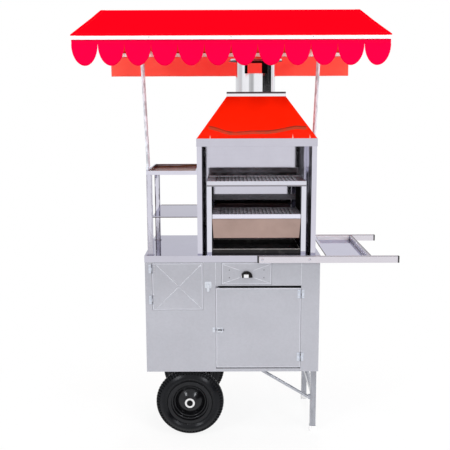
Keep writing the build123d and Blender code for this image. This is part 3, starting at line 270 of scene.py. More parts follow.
class StageSettings(bpy.types.PropertyGroup):
    """Camera and light."""

    camera_place: FloatVectorProperty(
        name="Camera", description="Where the camera stands", subtype="TRANSLATION", size=3,
        default=(-0.0916, -3.8942, 1.7202))
    camera_turn: FloatVectorProperty(
        name="Pitch, yaw, roll", description="How the camera is turned", subtype="EULER", size=3,
        default=(math.radians(9.268), math.radians(0.087), math.radians(0.178)))
    lens: FloatProperty(
        name="Lens", description="Focal length on a 36 mm sensor", unit="CAMERA", min=1, default=58.04)
    sky: FloatProperty(
        name="Sky", description="Strength of the even light from all sides", min=0, default=0.82)
    lamp: FloatProperty(
        name="Lamps", description="Power of a soft lamp", unit="POWER", min=0, default=46)


# Building blocks for meshes


def mesh_piece(name, points, faces, material, body, closed=False, merge=0.0, sharp=None):
    """Makes a mesh object that rides on a body, smooth but for edges past a sharp angle in degrees."""
    mesh = bpy.data.meshes.new(name)
    mesh.from_pydata([tuple(p) for p in points], [], faces)
    if closed or merge:
        form = bmesh.new()
        form.from_mesh(mesh)
        if merge:
            bmesh.ops.remove_doubles(form, verts=form.verts, dist=merge)
        if closed:
            bmesh.ops.recalc_face_normals(form, faces=form.faces)
        form.to_mesh(mesh)
        form.free()
    mesh.validate()
    mesh.update()
    mesh.shade_smooth()
    if sharp is not None:
        mesh.set_sharp_from_angle(angle=math.radians(sharp))
    mesh.materials.append(material)
    piece = bpy.data.objects.new(name, mesh)
    bpy.context.scene.collection.objects.link(piece)
    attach(piece, body)
    return piece


def thicken(piece, thickness, offset, lining):
    """Gives cloth its thickness and its inner side: offset is -1 to the back, 0 to both sides."""
    piece.data.materials.append(lining)
    solid = piece.modifiers.new("cloth_thickness", "SOLIDIFY")
    solid.thickness = thickness
    solid.offset = offset
    solid.material_offset = 1


def grid_faces(rows, columns, start=0, loop_rows=False, loop_columns=False):
    """Quads between neighbouring points of a grid that is stored row by row."""
    faces = []
    for i in range(rows if loop_rows else rows - 1):
        for j in range(columns if loop_columns else columns - 1):
            row, next_row = start + i * columns, start + (i + 1) % rows * columns
            beside = (j + 1) % columns
            faces.append((row + j, row + beside, next_row + beside, next_row + j))
    return faces


def circle(centre, across, other, radius, sides):
    """Points round a circle that two directions span."""
    turns = [2 * math.pi * s / sides for s in range(sides)]
    return [centre + (across * math.cos(t) + other * math.sin(t)) * radius for t in turns]


def add_rings(points, faces, rings):
    """Adds a closed skin through rings of points."""
    start, sides = len(points), len(rings[0])
    last = start + (len(rings) - 1) * sides
    points.extend(p for ring in rings for p in ring)
    faces.extend(grid_faces(len(rings), sides, start, loop_columns=True))
    faces.append([start + s for s in reversed(range(sides))])
    faces.append([last + s for s in range(sides)])


def add_head(points, faces, place, out, profile, radius):
    """Adds a turned head that stands out of a place: profile is (radius, height), in radii."""
    across = out.orthogonal().normalized()
    other = out.cross(across)
    rings = [circle(place + out * (height * radius), across, other, share * radius, HEAD_SIDES)
             for share, height in profile]
    add_rings(points, faces, rings)


def add_cord(points, faces, path, radius, sides):
    """Adds a round cord along a path."""
    rings, side = [], None
    for i, p in enumerate(path):
        along = (path[min(i + 1, len(path) - 1)] - path[max(i - 1, 0)]).normalized()
        side = along.orthogonal() if side is None else side - along * side.dot(along)
        side = side.normalized()
        rings.append(circle(p, side, along.cross(side), radius, sides))
    add_rings(points, faces, rings)


def add_bead(points, faces, start, end, out):
    """Adds a low rounded rib along a line, its foot sunk a little into the sheet."""
    along = (end - start).normalized()
    side = along.cross(out).normalized() * BEAD_HALF
    taper = along * BEAD_HALF * 2
    rings = []
    for place, wide in ((start, 0.2), (start + taper, 1.0), (end - taper, 1.0), (end, 0.2)):
        rings.append([place + (side * across + out * BEAD_RISE * up) * wide for across, up in BEAD_SECTION])
    add_rings(points, faces, rings)


def spaced(path, step):
    """Points at even steps along a path, each with the direction there."""
    found, left = [], step / 2
    for a, b in zip(path, path[1:]):
        span = (b - a).length
        while left <= span and span > 0:
            found.append((a + (b - a) * (left / span), (b - a) / span))
            left += step
        left -= span
    return found


def stitching(name, paths, lift, thread):
    """Rows of thread stitches along paths, lifted off the cloth, as one piece."""
    points, faces = [], []
    up = lift * THREAD_RADIUS
    for middle, along in [stitch for path in paths for stitch in spaced(path, STITCH_STEP)]:
        side = along.cross(lift).normalized() * THREAD_RADIUS
        rings = []
        for share, wide, rise in STITCH_RINGS:
            heart = middle + along * (STITCH_LENGTH * share) + up * rise
            rings.append([heart + side * wide, heart + up * wide, heart - side * wide, heart - up * wide])
        add_rings(points, faces, rings)
    return mesh_piece(name, points, faces, thread, "cart")


# Building blocks for finishes


def connect(value, socket):
    """Links a node's output to an input, or sets the input to a constant."""
    if isinstance(value, bpy.types.NodeSocket):
        socket.id_data.links.new(value, socket)
    else:
        socket.default_value = (*value, 1) if socket.type == "RGBA" else value


def node(tree, kind, links=None, **settings):
    """Adds a shader node, sets its options and links or sets its inputs."""
    made = tree.nodes.new("ShaderNode" + kind)
    for key, value in settings.items():
        setattr(made, key, value)
    for key, value in (links or {}).items():
        connect(value, made.inputs[key])
    return made


def feed(shader, **sockets):
    """Links or sets a shader's inputs, named with underscores for blanks."""
    for key, value in sockets.items():
        connect(value, shader.inputs[key.replace("_", " ")])


def new_finish(name, colour, metallic, roughness, **sockets):
    """Starts a material on one Principled shader; gives both, and the piece's own place."""
    material = bpy.data.materials.new(name)
    material.use_nodes = True
    material.diffuse_color = (*colour, 1)
    shader = next(n for n in material.node_tree.nodes if n.type == "BSDF_PRINCIPLED")
    feed(shader, Base_Color=colour, Metallic=metallic, Roughness=roughness, **sockets)
    return material, shader, stretched(material.node_tree)


def stretched(tree, scale=(1, 1, 1)):
    """The piece's own place in metres, stretched along each axis."""
    place = node(tree, "TexCoord").outputs["Object"]
    return node(tree, "Mapping", {"Vector": place, "Scale": scale}).outputs["Vector"]


def axes(where):
    """The three coordinates of a place or a direction."""
    return node(where.id_data, "SeparateXYZ", {"Vector": where}).outputs[:3]


def facing(where):
    """The three parts of the direction that the surface faces."""
    return axes(node(where.id_data, "TexCoord").outputs["Normal"])


def clouds(where, scale, detail=4.0, roughness=0.55):
    """Soft random patches."""
    links = {"Vector": where, "Scale": scale, "Detail": detail, "Roughness": roughness}
    return node(where.id_data, "TexNoise", links).outputs["Fac"]


def drawn(where, fineness, detail, roughness):
    """Random patches drawn out to lines, with their fineness along each axis."""
    return clouds(stretched(where.id_data, fineness), 1.0, detail, roughness)


def spangle(where, scale):
    """One random grey for each crystal of a zinc coat."""
    colour = node(where.id_data, "TexVoronoi", {"Vector": where, "Scale": scale}).outputs["Color"]
    return node(where.id_data, "SeparateColor", {"Color": colour}).outputs["Red"]


def combine(how, first, *others):
    """Joins values by a sum, product, maximum and so on, one after another."""
    for other in others:
        first = node(first.id_data, "Math", {0: first, 1: other}, operation=how).outputs[0]
    return first


def times(*values):
    """The product of some values."""
    return combine("MULTIPLY", *values)


def most(*values):
    """The largest of some values."""
    return combine("MAXIMUM", *values)


def off(value, place=0.0):
    """How far a value lies from a place, to either side."""
    return combine("ABSOLUTE", combine("SUBTRACT", value, place), 0.0)


def blend(first, share, second):
    """A share of one value and the rest of another."""
    return combine("ADD", times(first, share), times(second, 1 - share))


def remap(value, low, high, start=0.0, end=1.0):
    """Runs from low to high as a value goes from start to end."""
    links = {"Value": value, "From Min": start, "From Max": end, "To Min": low, "To Max": high}
    return node(value.id_data, "MapRange", links).outputs["Result"]


def after(value, place, soft=SOFT, share=1.0):
    """A share where a value is past a place, and none before it."""
    return remap(value, 0.0, share, place - soft / 2, place + soft / 2)


def before(value, place, soft=SOFT, share=1.0):
    """A share where a value is short of a place, and none past it."""
    return remap(value, share, 0.0, place - soft / 2, place + soft / 2)


def within(value, low, high, soft=SOFT):
    """One where a value lies between two ends, and none outside them."""
    return times(after(value, low, soft), before(value, high, soft))


def inside(where, name, margins, soft=SOFT):
    """One in a node's box, further in than the margin that x, y and z each may have."""
    rows = zip(axes(where), *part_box(name), margins)
    return times(*[within(value, low + margin, high - margin, soft)
                   for value, low, high, margin in rows if margin is not None])


def curve(value, points, interpolation="LINEAR"):
    """Follows points of (place, height) as a value runs from none to one."""
    made = node(value.id_data, "ValToRGB", {"Fac": value})
    made.color_ramp.interpolation = interpolation
    stops = made.color_ramp.elements
    stops.remove(stops[-1])
    for i, (place, height) in enumerate(points):
        stop = stops.new(place) if i else stops[0]
        stop.position = place
        stop.color = (height, height, height, 1)
    return made.outputs["Color"]


def between(share, first, second):
    """A colour that runs from one to another; each is a colour or another node's output."""
    links = {0: share, 6: first, 7: second}
    return node(share.id_data, "Mix", data_type="RGBA", links=links).outputs[2]


def toned(value, colour, dark, pale, start=USUAL[0], end=USUAL[1]):
    """Runs from one shade of a colour to another as a value goes from start to end."""
    return between(remap(value, 0, 1, start, end), shade(colour, dark), shade(colour, pale))


def mixed(share, first, second):
    """A share of the second of two shaders, and the rest of the first."""
    return node(first.id_data, "MixShader", {0: share, 1: first, 2: second}).outputs[0]


def relief(height, distance, strength, under=None):
    """A bump of this many metres, laid over another one if given."""
    links = {"Height": height, "Distance": distance, "Strength": strength}
    if under is not None:
        links["Normal"] = under
    return node(height.id_data, "Bump", links).outputs["Normal"]


def shade(colour, factor):
    """A darker or lighter form of a colour."""
    return tuple(min(1.0, c * factor) for c in colour)


def cover(names, material):
    """Gives CAD nodes their finish."""
    for name in names:
        mesh = NODES[name].data
        mesh.materials.clear()
        mesh.materials.append(material)


def fold_edges(names, width, segments=2):
    """Rounds the sharp edges of flat-faced CAD nodes."""
    for name in names:
        mesh = NODES[name].data
        kept = mesh.attributes.get("custom_normal")
        if kept is not None:
            mesh.attributes.remove(kept)
        mesh.shade_flat()
        weld = NODES[name].modifiers.new("joined_faces", "WELD")
        weld.merge_threshold = 0.00001
        bevel = NODES[name].modifiers.new("folded_edges", "BEVEL")
        bevel.width = width
        bevel.segments = segments
        bevel.limit_method = "ANGLE"
        bevel.angle_limit = math.radians(FOLD_ANGLE)
        bevel.use_clamp_overlap = True


# Where steel is discoloured, and where shade and reflections are painted on it


def housing_soot_and_reflection(where):
    """Soot and painted dark reflection in upright streaks inside the grill's front posts and on the front
    half of its side walls.
    """
    depth = combine("ADD", axes(where)[1], remap(clouds(where, 6.0), -0.05, 0.05, *USUAL))
    bare = remap(drawn(where, (30, 48, 4), 4.0, 0.6), 1.0, 0.25, 0.54, 0.62)
    return times(inside(where, "grill_corner_posts", (0.0026, 0.0012)), bare, before(depth, 0.08, 0.04))


def stand_soot_and_shade(where):
    """Soot and painted shade on the inner sides of the stand's legs."""
    return inside(where, "stand_legs", (0.0011, 0.0011))


def shelf_grease_and_reflection(where):
    """Grease and painted dark reflection inside the top shelf's rim, with bare streaks."""
    bare = remap(drawn(where, (3, 22, 120), 3.0, 0.5), 1.0, 0.35, 0.52, 0.60)
    return times(inside(where, "top_shelf", (0.0008, 0.0008, 0.0008)), bare)


def wall_soot(where):
    """Soot on the grill's back wall, in a dark band behind each grate and fainter above it."""
    x, _, z = axes(where)
    bands = []
    for name, foot, top, share in WALL_BANDS:
        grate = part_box(name)[1].z
        bands.append(times(within(z, grate + foot, grate + top, 0.002), share))
    low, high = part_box("upper_grate")
    patches = remap(drawn(where, (14, 14, 40), 5.0, 0.6), 0.75, 1.0, 0.35, 0.6)
    return times(most(*bands), patches, before(facing(where)[1], -0.5, 0.2), within(x, low.x, high.x, 0.02))


def tray_back_reflection(where):
    """The pale inner face of the side tray's back wall: a painted reflection."""
    x, y, _ = axes(where)
    low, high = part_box("side_tray")
    return times(after(y, high.y - 0.0211, 0.001), within(x, low.x + 0.006, high.x - 0.0217))


def tray_edges(where):
    """The side tray's shaded right rim, dark along both its folds, and its dark left edge."""
    x, _, z = axes(where)
    low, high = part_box("side_tray")
    middle = (low.z + high.z) / 2
    lower = remap(z, 1.0, 0.55, middle - 0.001, middle + 0.001)
    wall = times(within(x, high.x - 0.0215, high.x - 0.0195), lower)
    rim = most(after(x, high.x - 0.01925, 0.0005, 0.5), after(x, high.x - 0.005, 0.001))
    return most(wall, rim, before(x, low.x + 0.005, 0.001))


def frame_shade(where):
    """The shaded lower part of the grill stand's upper frame."""
    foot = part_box("stand_upper_frame")[0].z
    return before(axes(where)[2], foot + 0.007, 0.002, 0.75)


def shelf_edges(where):
    """The lower shelf's shaded front lip and back edge."""
    _, y, z = axes(where)
    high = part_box("lower_shelf")[1]
    return most(before(z, high.z - 0.0025, 0.0006), after(y, high.y - 0.037, 0.006, 0.8))


def handle_line(where):
    """A shaded line along the top of the handle bars."""
    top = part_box("handle_bars")[1].z
    return after(axes(where)[2], top - 0.0028, 0.0008, 0.5)


def collar_line(where):
    """The shaded upper half of the hood's collar."""
    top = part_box("hood_collar")[1].z
    return after(axes(where)[2], top - 0.009, 0.001)


def knuckle_shade(where):
    """Painted shade along the pins of the hinges, where the knuckles stand proud of the leaves."""
    x = axes(where)[0]
    low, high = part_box("hinge_pins")
    pins = [within(x, pin - 0.003, pin + 0.003, 0.002) for pin in (low.x + 0.002, high.x - 0.002)]
    return times(most(*pins), remap(clouds(where, 70.0, 3.0), 0.35, 1.0, 0.35, 0.6))


def post_shade_streaks(where):
    """Painted shade and dark reflection in dull ragged streaks along the folds of the shelf posts, stronger
    on the rear post and at the feet.
    """
    x, y, z = axes(where)
    low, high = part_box("shelf_posts")
    ragged = remap(drawn(where, (90, 90, 16), 5.0, 0.7), -0.004, 0.004, *USUAL)
    moved = combine("ADD", x, ragged)
    folds = most(before(moved, low.x + 0.0105, 0.002), after(moved, high.x - 0.011, 0.003))
    rear = remap(y, 0.45, 1.0, low.y + 0.05, high.y - 0.05)
    foot = before(combine("ADD", z, times(ragged, 20.0)), low.z + 0.10, 0.08, 0.35)
    return times(most(times(folds, rear), foot), after(off(facing(where)[1]), 0.5, 0.2))


def pipe_soot_and_shade(where):
    """Soot and painted shade inside the chimney pipe."""
    low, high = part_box("chimney_pipe")
    middle = (low + high) / 2
    level = node(where.id_data, "VectorMath", {0: where, 1: (1, 1, 0)}, operation="MULTIPLY").outputs[0]
    links = {0: level, 1: (middle.x, middle.y, 0)}
    away = node(where.id_data, "VectorMath", links, operation="DISTANCE").outputs["Value"]
    return before(away, high.x - middle.x - 0.0008)


def cap_soot_and_shade(where):
    """Soot and painted shade under the chimney cap."""
    return before(facing(where)[2], -0.4, 0.2)


def pull_dark(where):
    """The dark surroundings that the chromed pull mirrors: an arch round a bright middle."""
    x, _, z = axes(where)
    low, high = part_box("drawer_pull")
    size = high - low
    across = within(x, low.x + size.x * 0.26, low.x + size.x * 0.66, 0.002)
    bright = times(across, within(z, low.z - 0.01, low.z + size.z * 0.56, 0.002))
    return remap(most(bright, before(x, low.x + size.x * 0.08, size.x * 0.04)), 1.0, 0.0)


# Finishes


def galvanised_sheet(name, colour, lit_edges=None):
    """Zinc-coated sheet with faint crystals and scratches, darker towards the top; doors have a painted
    highlight along their edges.
    """
    material, shader, where = new_finish(name, colour, 0.55, 0.36, Specular_IOR_Level=0.3)
    crystals = spangle(where, 110.0)
    tone = blend(crystals, 0.25, clouds(where, 4.0, 5.0))
    lighter_low = toned(tone, colour, 0.96, 1.06, 0.25, 0.75)
    darker_top = toned(tone, colour, 0.86, 0.96, 0.25, 0.75)
    # The cabinet's zinc turns darker towards the top.
    tinted = between(remap(axes(where)[2], 0.0, 1.0, *DARKER_FROM_TO), lighter_low, darker_top)
    # Painted highlight: a pale band along a door's edges stands for its folded lip catching the light.
    if lit_edges:
        tinted = between(inside(where, lit_edges, (LIT_EDGE_WIDTH, None, LIT_EDGE_WIDTH), LIT_EDGE_WIDTH), shade(colour, 1.6), tinted)
    ripple = relief(clouds(where, 2.6, 2.0), 0.003, 0.3)
    scratches = drawn(where, (7, 320, 320), 5.0, 0.7)
    feed(shader, Base_Color=tinted, Roughness=remap(crystals, 0.30, 0.40),
         Normal=relief(scratches, 0.00004, 0.5, ripple))
    return material


def polished_sheet(name, colour, fineness, rough=(0.03, 0.10), ripple=0.0006, edge=0.76, marks=None,
                   mark_colour=SOOT_SHADE_AND_REFLECTION, pale=None):
    """Stainless sheet with polishing lines and slow ripples; marks say where soot, grease, painted shade and
    painted dark reflection darken it, and pale where a pale painted reflection lies.
    """
    material, shader, where = new_finish(name, colour, 1.0, sum(rough) / 2, Specular_IOR_Level=0.06,
                                         Specular_Tint=(edge, edge, min(1.0, edge * 1.08)))
    lines = drawn(where, fineness, 6.0, 0.75)
    tone = blend(lines, 0.5, clouds(where, 9.0, 5.0, 0.6))
    tinted = toned(tone, colour, 0.95, 1.04)
    dull = remap(tone, *rough, *USUAL)
    coats = []
    if marks is not None:
        coats.append(marks(where))
        tinted = between(coats[-1], tinted, toned(lines, mark_colour, 0.5, 1.6, 0.35, 0.65))
    if pale is not None:
        coats.append(pale(where))
        tinted = between(coats[-1], tinted, PALE_REFLECTION)
    if coats:
        coated = most(*coats)
        dull = most(dull, times(coated, 0.45))
        feed(shader, Metallic=remap(coated, 1.0, 0.0))
    slow = relief(clouds(where, 4.0, 2.0), ripple, 0.3)
    feed(shader, Base_Color=tinted, Roughness=dull, Normal=relief(lines, 0.00001, 0.4, slow))
    return material


def firebox_steel(colour):
    """Brushed steel that heat has tinted in patches."""
    material, shader, where = new_finish("firebox_steel", colour, 0.9, 0.34)
    lines = drawn(where, (5, 420, 420), 6.0, 0.75)
    feed(shader, Base_Color=toned(clouds(where, 7.0, 5.0, 0.6), colour, 0.9, 1.12),
         Roughness=remap(lines, 0.28, 0.44, *USUAL), Normal=relief(lines, 0.00004, 0.5))
    return material


def grate_steel(name, colour):
    """Grill mesh: a painted highlight makes strands bright on top, on one side and along the front edge;
    elsewhere black with burned fat and painted shade, more so towards the back.
    """
    material, shader, where = new_finish(name + "_steel", colour, 1.0, 0.3, Specular_IOR_Level=0.06)
    low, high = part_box(name)
    side, _, up = facing(where)
    y = axes(where)[1]
    burns = clouds(where, 24.0, 5.0, 0.65)
    # Painted light: faces that look up and to one side, and the front edge, are bright metal; the rest is
    # black, of burned fat and painted shade, darker towards the back.
    bare = most(remap(up, 0.0, 0.8, 0.4, 0.8), before(side, -0.3, 0.2))
    back = remap(y, 1.0, 0.45, low.y + 0.06, high.y - 0.08)
    worn = times(bare, remap(burns, 0.55, 1.0, 0.36, 0.5), back)
    worn = most(worn, before(y, low.y + 0.00075, 0.0005))
    feed(shader, Base_Color=between(worn, SOOT_SHADE_AND_REFLECTION, colour), Metallic=worn,
         Roughness=remap(burns, 0.45, 0.18, *USUAL), Normal=relief(clouds(where, 420.0, 3.0), 0.0001, 0.4))
    return material


def ash_soot_and_shade_steel():
    """The ash tray: black with soot and painted shade, and pale along its rim with wear and a painted
    highlight.
    """
    material, shader, where = new_finish("ash_soot_and_shade_steel", ASH_SOOT_AND_SHADE, 0.6, 0.4)
    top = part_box("ash_tray")[1].z
    patches = clouds(where, 30.0, 6.0, 0.65)
    # Painted highlight together with wear: a pale line along the rim.
    rim = remap(axes(where)[2], 0.0, 1.0, top - 0.004, top - 0.0005)
    worn = combine("ADD", rim, remap(patches, -0.2, 0.12, *USUAL))
    feed(shader, Base_Color=between(worn, ASH_SOOT_AND_SHADE, ASH_RIM_WEAR_AND_HIGHLIGHT), Roughness=remap(patches, 0.25, 0.55, *USUAL),
         Normal=relief(patches, 0.0004, 0.5))
    return material


def hood_enamel(colour):
    """Glossy enamel on thin sheet: slow waves, orange peel, a painted reflection of the awning's edge as a
    brownish band in front, and painted glints at the foot.
    """
    material, shader, where = new_finish("hood_enamel", colour, 0.0, 0.34, Specular_IOR_Level=0.10,
                                         Coat_Weight=0.3, Coat_Roughness=0.03)
    x, y, z = axes(where)
    low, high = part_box("hood_shell")
    patches = clouds(where, 5.0)
    tinted = toned(patches, colour, 0.95, 1.04)
    share = remap(x, 0.0, 1.0, low.x, high.x)
    rise = combine("SUBTRACT", z, low.z)
    # Painted reflection: a brownish band low on the front stands for the awning's edge mirrored in the
    # enamel.
    over = combine("SUBTRACT", rise, curve(share, EDGE_REFLECTION_LINE, "B_SPLINE"))
    front = within(y, low.y - 0.01, low.y + 0.045)
    band = times(remap(off(over), 1.0, 0.0, EDGE_REFLECTION_HALF * 0.7, EDGE_REFLECTION_HALF), front,
                 within(share, 0.10, 0.915, 0.02), remap(clouds(where, 30.0), 0.6, 1.0, 0.3, 0.6))
    reflected_edge = toned(over, EDGE_REFLECTION_BROWN, 1.0, 0.5, 0.0, EDGE_REFLECTION_HALF * 0.6)
    tinted = between(band, tinted, reflected_edge)
    # Painted glints: small pale pink spikes at the foot stand for highlights.
    for place, tall in HOOD_GLINTS:
        beside = remap(off(share, place), 1.0, 0.0, 0.0, GLINT_HALF)
        left = combine("SUBTRACT", beside, remap(rise, 0.0, 1.0, 0.0, tall))
        tinted = between(times(front, remap(left, 0.0, 0.9, 0.0, 0.3)), tinted, GLINT_PINK)
    waves = relief(clouds(where, 4.5, 1.0), 0.005, 0.3)
    peel = relief(clouds(where, 520.0, 2.0), 0.00003, 0.4, waves)
    feed(shader, Base_Color=tinted, Roughness=remap(patches, 0.28, 0.40, *USUAL), Normal=peel,
         Coat_Normal=peel)
    return material


def rail_paint(colour):
    """White gloss paint with a fine orange peel and a few grey scuffs."""
    material, shader, where = new_finish("rail_paint", colour, 0.0, 0.32, Coat_Weight=0.2,
                                         Coat_Roughness=0.1)
    scuffs = drawn(where, (10, 120, 120), 6.0, 0.7)
    feed(shader, Base_Color=toned(scuffs, colour, 0.88, 1.0, 0.22, 0.42),
         Roughness=remap(scuffs, 0.44, 0.28, 0.25, 0.6),
         Normal=relief(clouds(where, 600.0, 2.0), 0.00005, 0.5))
    return material


def zinc_tube(name, colour, foot=0.0, metal=0.6, worn=0.93):
    """Zinc-plated tube: faint drawing lines, duller dashes, and white plastic below the foot height."""
    material, shader, where = new_finish(name, colour, metal, 0.22)
    spots = drawn(where, (70, 70, 20), 3.0, 0.5)
    tinted = toned(spots, colour, worn, 1.05, 0.42, 0.56)
    dull = remap(spots, 0.26, 0.18, *USUAL)
    if foot:
        capped = before(axes(where)[2], foot, 0.0006)
        tinted = between(capped, tinted, FOOT_WHITE)
        dull = most(dull, times(capped, 0.5))
        feed(shader, Metallic=remap(capped, metal, 0.0))
    feed(shader, Base_Color=tinted, Roughness=dull,
         Normal=relief(drawn(where, (300, 300, 4), 3.0, 0.6), 0.00001, 0.4))
    return material


def patched(name, colour, metallic, spots, shades, gloss, grain, over=USUAL, marks=None, **sockets):
    """A finish that varies in cloudy spots, over a grain of (scale, detail, height, strength)."""
    material, shader, where = new_finish(name, colour, metallic, sum(gloss) / 2, **sockets)
    pattern = clouds(where, *spots)
    tinted = toned(pattern, colour, *shades, *over)
    if marks is not None:
        tinted = between(marks(where), tinted, SHADED)
    scale, detail, height, strength = grain
    feed(shader, Base_Color=tinted, Roughness=remap(pattern, *gloss, *USUAL),
         Normal=relief(clouds(where, scale, detail), height, strength))
    return material


def bright_fitting(name, colour, rough, marks=None):
    """Small plated fittings: fine scratches and a little tarnish; marks say where painted shade darkens them.
    """
    return patched(name, colour, 1.0, spots=(90.0, 5.0, 0.6), shades=(0.80, 1.05),
                   gloss=(rough * 1.5, rough * 0.8), grain=(700.0, 3.0, 0.00004, 0.5), marks=marks)


def tyre_rubber(colour):
    """Black rubber with a soft shine, a dusty bloom and fine pores."""
    return patched("tyre_rubber", colour, 0.0, spots=(14.0, 6.0, 0.65), shades=(1.0, 1.7),
                   gloss=(0.24, 0.33), grain=(420.0, 3.0, 0.00006, 0.4), over=(0.35, 0.72),
                   Specular_IOR_Level=0.22, Specular_Tint=COOL_SHEEN)


def rim_paint(colour):
    """Black stove paint on the pressed rims, with a clear shine and small worn spots."""
    return patched("rim_paint", colour, 0.0, spots=(40.0, 6.0, 0.7), shades=(1.0, 3.0),
                   gloss=(0.16, 0.24), grain=(480.0, 2.0, 0.00002, 0.4), over=(0.5, 0.85),
                   Specular_IOR_Level=0.36, Specular_Tint=COOL_SHEEN)


def plug_plastic():
    """Black moulded plastic with a fine grain and pale scuffs."""
    return patched("plug_plastic", PLUG_BLACK, 0.0, spots=(70.0, 5.0, 0.65), shades=(1.0, 2.6),
                   gloss=(0.42, 0.6), grain=(900.0, 2.0, 0.00008, 0.6), over=(0.5, 0.8))


def awning_canvas(name, colour, across, see_through):
    """Coated canvas: a plain weave, faint fading, and some light that comes through from behind."""
    material, shader, where = new_finish(name, colour, 0.0, 0.88, Specular_IOR_Level=0.0)
    tree = material.node_tree
    threads = [node(tree, "TexWave", {"Vector": where, "Scale": 230.0}, bands_direction=way).outputs["Fac"]
               for way in ("X", across)]
    fading = drawn(where, (1.2, 7, 7), 6.0, 0.6)
    tinted = toned(blend(fading, 0.8, drawn(where, (40, 900, 900), 2.0, 0.55)), colour, 0.94, 1.05)
    cloth = relief(most(*threads), 0.00012, 0.35)
    feed(shader, Base_Color=tinted, Roughness=remap(fading, 0.82, 0.94, *USUAL), Normal=cloth)
    glow = node(tree, "BsdfTranslucent", {"Color": tinted, "Normal": cloth}).outputs[0]
    end = next(n for n in tree.nodes if n.type == "OUTPUT_MATERIAL")
    feed(end, Surface=mixed(see_through, shader.outputs[0], glow))
    return material


def sewing_thread(name, colour):
    """Twisted thread, a little darker than the cloth."""
    material, shader, where = new_finish(name, shade(colour, 0.8), 0.0, 0.7)
    links = {"Vector": where, "Scale": 900.0}
    twist = node(material.node_tree, "TexWave", links, bands_direction="DIAGONAL").outputs["Fac"]
    feed(shader, Base_Color=toned(twist, colour, 0.66, 0.92, 0.0, 1.0), Normal=relief(twist, 0.0001, 0.6))
    return material


# Shapes of the cloth


def roof_point(settings, u, v):
    """A point of the roof: u runs along the rails, v from the front to the rear, each from -1 to 1."""
    down = (math.hypot(v, RIDGE_BEND) - RIDGE_BEND) / (math.hypot(1, RIDGE_BEND) - RIDGE_BEND)
    slack = math.sin(math.pi * abs(v))
    x = ROOF_MIDDLE + u * ((ROOF_HIGH.x - ROOF_LOW.x) / 2 - RIDGE_SHORTFALL * (1 - down))
    dip = settings.sag * slack * (0.75 + 0.25 * math.cos(5.2 * u))
    dip += ROOF_UNEVEN * slack * noise.noise(Vector((x * 3.1, v * 4.0, 1.7)))
    ridge, foot = ROOF_HIGH.z - CLOTH_GAP, ROOF_LOW.z + settings.thickness + CLOTH_GAP
    return Vector((x, v * ROOF_HIGH.y, ridge - (ridge - foot) * down - dip))


def roof_steps(edge):
    """Steps across and along the roof, closer at the ridge and at the hems, whose inner edge is given."""
    near = [0.004, 0.010, 0.018, 0.028, 0.042, 0.062, 0.09]
    far = [0.13 + 0.87 * i / 15 for i in range(16)]
    across = sorted([-v for v in near + far] + [0.0] + near + far)
    hem = [edge + 0.0008, (1 + edge) / 2, 1.0]
    along = [-u for u in reversed(hem)] + [-edge + 2 * edge * i / 64 for i in range(65)] + hem
    return across, along


def scallop_edge(settings, tongue, share):
    """Where a tongue's side-to-side share (0 to 1) lies along the rail, and how deep the tongue is there."""
    pitch = (FRONT_HIGH.x - FRONT_LOW.x) / settings.scallops
    half = (pitch - settings.slit) / 2
    angle = math.pi * share
    middle = FRONT_LOW.x + (tongue + 0.5) * pitch
    deep = FRONT_HIGH.z - FRONT_LOW.z - settings.cusp
    return middle - half * math.cos(angle), deep * math.sin(angle)


def front_point(settings, x, depth):
    """A point of the front valance at a depth below the rail, waved out of its plane."""
    pitch = (FRONT_HIGH.x - FRONT_LOW.x) / settings.scallops
    share = (depth / (FRONT_HIGH.z - FRONT_LOW.z)) ** 1.4
    belly = math.cos(2 * math.pi * (x - FRONT_LOW.x) / pitch) * 0.5
    drift = noise.noise(Vector((x * 4.3, 0.3, 5.1)))
    wave = settings.sway * share * (belly + 1.1 * drift)
    return Vector((x, (FRONT_LOW.y + FRONT_HIGH.y) / 2 - wave, FRONT_HIGH.z - depth))


def rear_point(settings, x, depth):
    """A point of the rear valance at a depth below the rail, in loose folds."""
    share = (depth / (REAR_HIGH.z - REAR_LOW.z)) ** 1.2
    folds = math.sin(x * 31.0 + 1.6 * math.sin(x * 6.7)) + 0.6 * noise.noise(Vector((x * 9.0, 2.2, 0.4)))
    wave = settings.sway * 1.1 * share * folds
    return Vector((x, (REAR_LOW.y + REAR_HIGH.y) / 2 + wave, REAR_HIGH.z - depth))


# Shapes of the wheels

# A tyre's section from its inner bead over the wall, as (radius, place across), with place negative outwards
TYRE_WALL = [(0.1022, -0.0150), (0.1022, -0.0238), (0.1176, -0.0240), (0.1188, -0.0263), (0.1225, -0.0290),
             (0.1262, -0.0316), (0.1290, -0.0338), (0.1312, -0.0351), (0.1330, -0.0361), (0.1352, -0.0371),
             (0.1376, -0.0374), (0.1402, -0.0369), (0.1436, -0.0356), (0.1470, -0.0338), (0.1505, -0.0317),
             (0.1540, -0.0294), (0.1576, -0.0271)]
TYRE_TREAD = [(0.1619, -0.0250), (0.1667, -0.0236), (0.1699, -0.0222), (0.1731, -0.0198), (0.1742, -0.0172),
              (0.1707, -0.0166), (0.1709, -0.0140), (0.1760, -0.0133), (0.1780, -0.0060), (0.1789, 0.0000)]
TYRE_INSIDE = [(0.1150, 0.0150), (0.1360, 0.0285), (0.1500, 0.0225), (0.1587, 0.0155), (0.1640, 0.0000)]
# The lugs: half the middle rib, the radius they start at, their slant, and (share of pitch, cut or not)
RIB_HALF = 0.0146
LUG_FOOT = 0.1587
LUG_SLANT = 1.6
LUG_STEPS = [(0.0, 0), (0.05, 1), (0.40, 1), (0.45, 0), (0.72, 0)]
